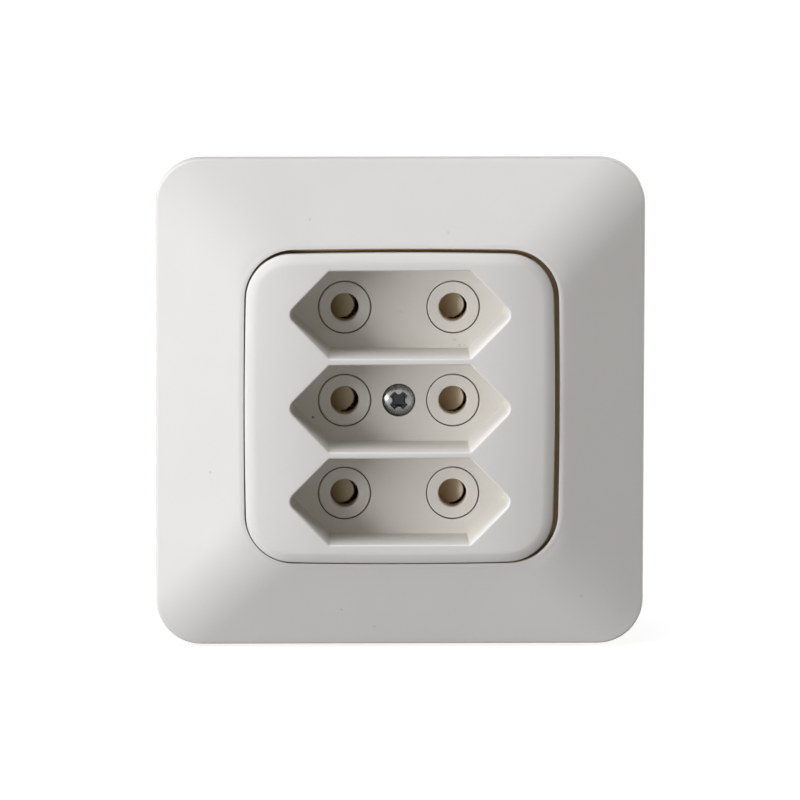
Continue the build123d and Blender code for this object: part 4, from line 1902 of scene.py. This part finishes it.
@dataclass(frozen=True)
class Strip(Lamp):
    """A long low lamp, level with the socket.

    Attributes:
        thickness: Height of the strip, in metres.
    """

    thickness: float = 0.08

    def source(self) -> bpy.types.Light:
        """Make the light itself, whose power is the wanted strength times pi times its distance squared.

        Returns:
            The light.
        """
        data = bpy.data.lights.new(self.name, "AREA")
        data.shape = "RECTANGLE"
        data.size = 2 * LAMP_DISTANCE * math.tan(math.radians(self.spread_deg / 2))
        data.size_y = self.thickness
        data.energy = self.strength * math.pi * LAMP_DISTANCE**2
        return data


@dataclass
class Studio:
    """Camera, lamps, floor and surroundings.

    Attributes:
        azimuth_deg: Camera's turn about the vertical, negative to the left of the socket.
        elevation_deg: Camera's height above the socket's level.
        distance: Camera's distance from the aim, in metres.
        lens_mm: Focal length.
        aim: Point at the middle of the picture.
        roll_deg: Camera's turn about its own axis.
        lamps: All lamps.
        ambient: Strength of the light from all round.
        ambient_tint: Colour of that light.
        floor_half: Half width of the floor, in metres.
        floor_gap: Space between the socket and the floor.
        floor_colour: Colour of the floor, linear.
        floor_glow: Brightness that the floor shows to the camera beyond its own colour.
        floor_roughness: Roughness of the floor.
        sensor_mm: Width of the camera's sensor.
        clip: Nearest and farthest distance that the camera sees.
    """

    azimuth_deg: float = -1.45
    elevation_deg: float = 8.8
    distance: float = 1.6
    lens_mm: float = 411.3
    aim: tuple[float, float, float] = (0.00013, -0.0045, 0.00060)
    roll_deg: float = 0.12
    lamps: tuple[Lamp, ...] = (
        Lamp("left_window", (-0.878, -0.479, 0.0), 1.44, 24.0),
        Strip("left_strip", (-0.809, -0.588, 0.0), 1.36, 28.0),
        Lamp("upper_left", (-0.700, -0.407, 0.587), 0.74, 28.0),
        Lamp("upper_window", (-0.168, -0.259, 0.951), 0.96, 24.0),
        Lamp("upper_front", (-0.150, -0.500, 0.853), 0.34, 24.0),
        Lamp("front", (0.0, -1.0, 0.0), 0.18, 24.0, (1.15, 1.0, 0.75)),
        Lamp("right_rim", (0.931, 0.335, 0.145), 1.7, 16.0, (1.06, 1.0, 0.94)),
    )
    ambient: float = 0.02
    ambient_tint: Colour = (1.25, 1.0, 0.65)
    floor_half: float = 3.0
    floor_gap: float = 0.0005
    floor_colour: Colour = (0.22, 0.22, 0.22)
    floor_glow: float = 0.86
    floor_roughness: float = 0.9
    sensor_mm: float = 36.0
    clip: Span = (0.01, 50.0)

    def camera(self) -> None:
        """Place the camera at the photograph's viewing angle."""
        azimuth, elevation = math.radians(self.azimuth_deg), math.radians(self.elevation_deg)
        back = Vector(
            (
                math.sin(azimuth) * math.cos(elevation),
                -math.cos(azimuth) * math.cos(elevation),
                math.sin(elevation),
            )
        )
        data = bpy.data.cameras.new("camera")
        data.lens = self.lens_mm
        data.sensor_width = self.sensor_mm
        data.clip_start, data.clip_end = self.clip
        camera = bpy.data.objects.new("camera", data)
        bpy.context.scene.collection.objects.link(camera)
        camera.location = Vector(self.aim) + back * self.distance
        camera.rotation_mode = "QUATERNION"
        level = (-back).to_track_quat("-Z", "Y")
        camera.rotation_quaternion = level @ Quaternion((0.0, 0.0, 1.0), math.radians(self.roll_deg))
        bpy.context.scene.camera = camera

    def seen_white(self, tree: bpy.types.NodeTree) -> Value:
        """Give a factor that is 1 for rays from the camera, and for those that metal or glass sends on.

        Args:
            tree: Node tree of the floor or the world.

        Returns:
            The factor, 0 or 1.
        """
        path = tree.nodes.new("ShaderNodeLightPath")
        total = path.outputs["Is Camera Ray"]
        for name in ("Is Glossy Ray", "Is Transmission Ray"):
            node = tree.nodes.new("ShaderNodeMath")
            node.operation = "MAXIMUM"
            tree.links.new(total, node.inputs[0])
            tree.links.new(path.outputs[name], node.inputs[1])
            total = node.outputs[0]
        return total

    def surroundings(self) -> None:
        """Light the object from all round, and show plain white behind it."""
        world = bpy.data.worlds.new("surroundings")
        bpy.context.scene.world = world
        world.use_nodes = True
        tree = world.node_tree
        light = tree.nodes["Background"]
        light.inputs["Color"].default_value = (*self.ambient_tint, 1.0)
        light.inputs["Strength"].default_value = self.ambient
        white = tree.nodes.new("ShaderNodeBackground")
        white.inputs["Color"].default_value = (1.0, 1.0, 1.0, 1.0)
        mix = tree.nodes.new("ShaderNodeMixShader")
        tree.links.new(self.seen_white(tree), mix.inputs["Fac"])
        tree.links.new(light.outputs[0], mix.inputs[1])
        tree.links.new(white.outputs[0], mix.inputs[2])
        tree.links.new(mix.outputs[0], tree.nodes["World Output"].inputs["Surface"])

    def floor(self) -> None:
        """Lay a pale floor under the socket, which looks white and keeps a faint shadow."""
        low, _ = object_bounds()
        level = low.z - self.floor_gap
        half = self.floor_half
        mesh = bpy.data.meshes.new("floor")
        corners = [(-half, -half, level), (half, -half, level), (half, half, level), (-half, half, level)]
        mesh.from_pydata(corners, [], [(0, 1, 2, 3)])
        floor = bpy.data.objects.new("floor", mesh)
        bpy.context.scene.collection.objects.link(floor)
        material = bpy.data.materials.new("pale_floor")
        material.use_nodes = True
        tree = material.node_tree
        pale = tree.nodes["Principled BSDF"]
        pale.inputs["Base Color"].default_value = (*self.floor_colour, 1.0)
        pale.inputs["Roughness"].default_value = self.floor_roughness
        glow = tree.nodes.new("ShaderNodeEmission")
        glow.inputs["Strength"].default_value = self.floor_glow
        both = tree.nodes.new("ShaderNodeAddShader")
        tree.links.new(pale.outputs[0], both.inputs[0])
        tree.links.new(glow.outputs[0], both.inputs[1])
        mix = tree.nodes.new("ShaderNodeMixShader")
        tree.links.new(self.seen_white(tree), mix.inputs["Fac"])
        tree.links.new(pale.outputs[0], mix.inputs[1])
        tree.links.new(both.outputs[0], mix.inputs[2])
        tree.links.new(mix.outputs[0], tree.nodes["Material Output"].inputs["Surface"])
        mesh.materials.append(material)
        floor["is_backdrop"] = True

    def build(self) -> None:
        """Set up everything round the object."""
        bpy.context.scene.view_settings.view_transform = "Standard"
        self.camera()
        for lamp in self.lamps:
            lamp.add()
        self.surroundings()
        self.floor()


def main() -> None:
    """Build the pieces in order."""
    logging.basicConfig(level=logging.INFO, format="%(name)s: %(message)s")
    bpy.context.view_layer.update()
    finishes = Finishes()
    finishes.dress_nodes()
    CoverFrame().build(finishes.white.make())
    CentrePlate().build(finishes.plate.make())
    ContactCover().build(finishes.collar.make())
    NoseRounds().build(finishes.shutter.make())
    Fasteners().build(finishes.screw.make(), finishes.zinc.make())
    Studio().build()


if __name__ == "__main__":
    main()
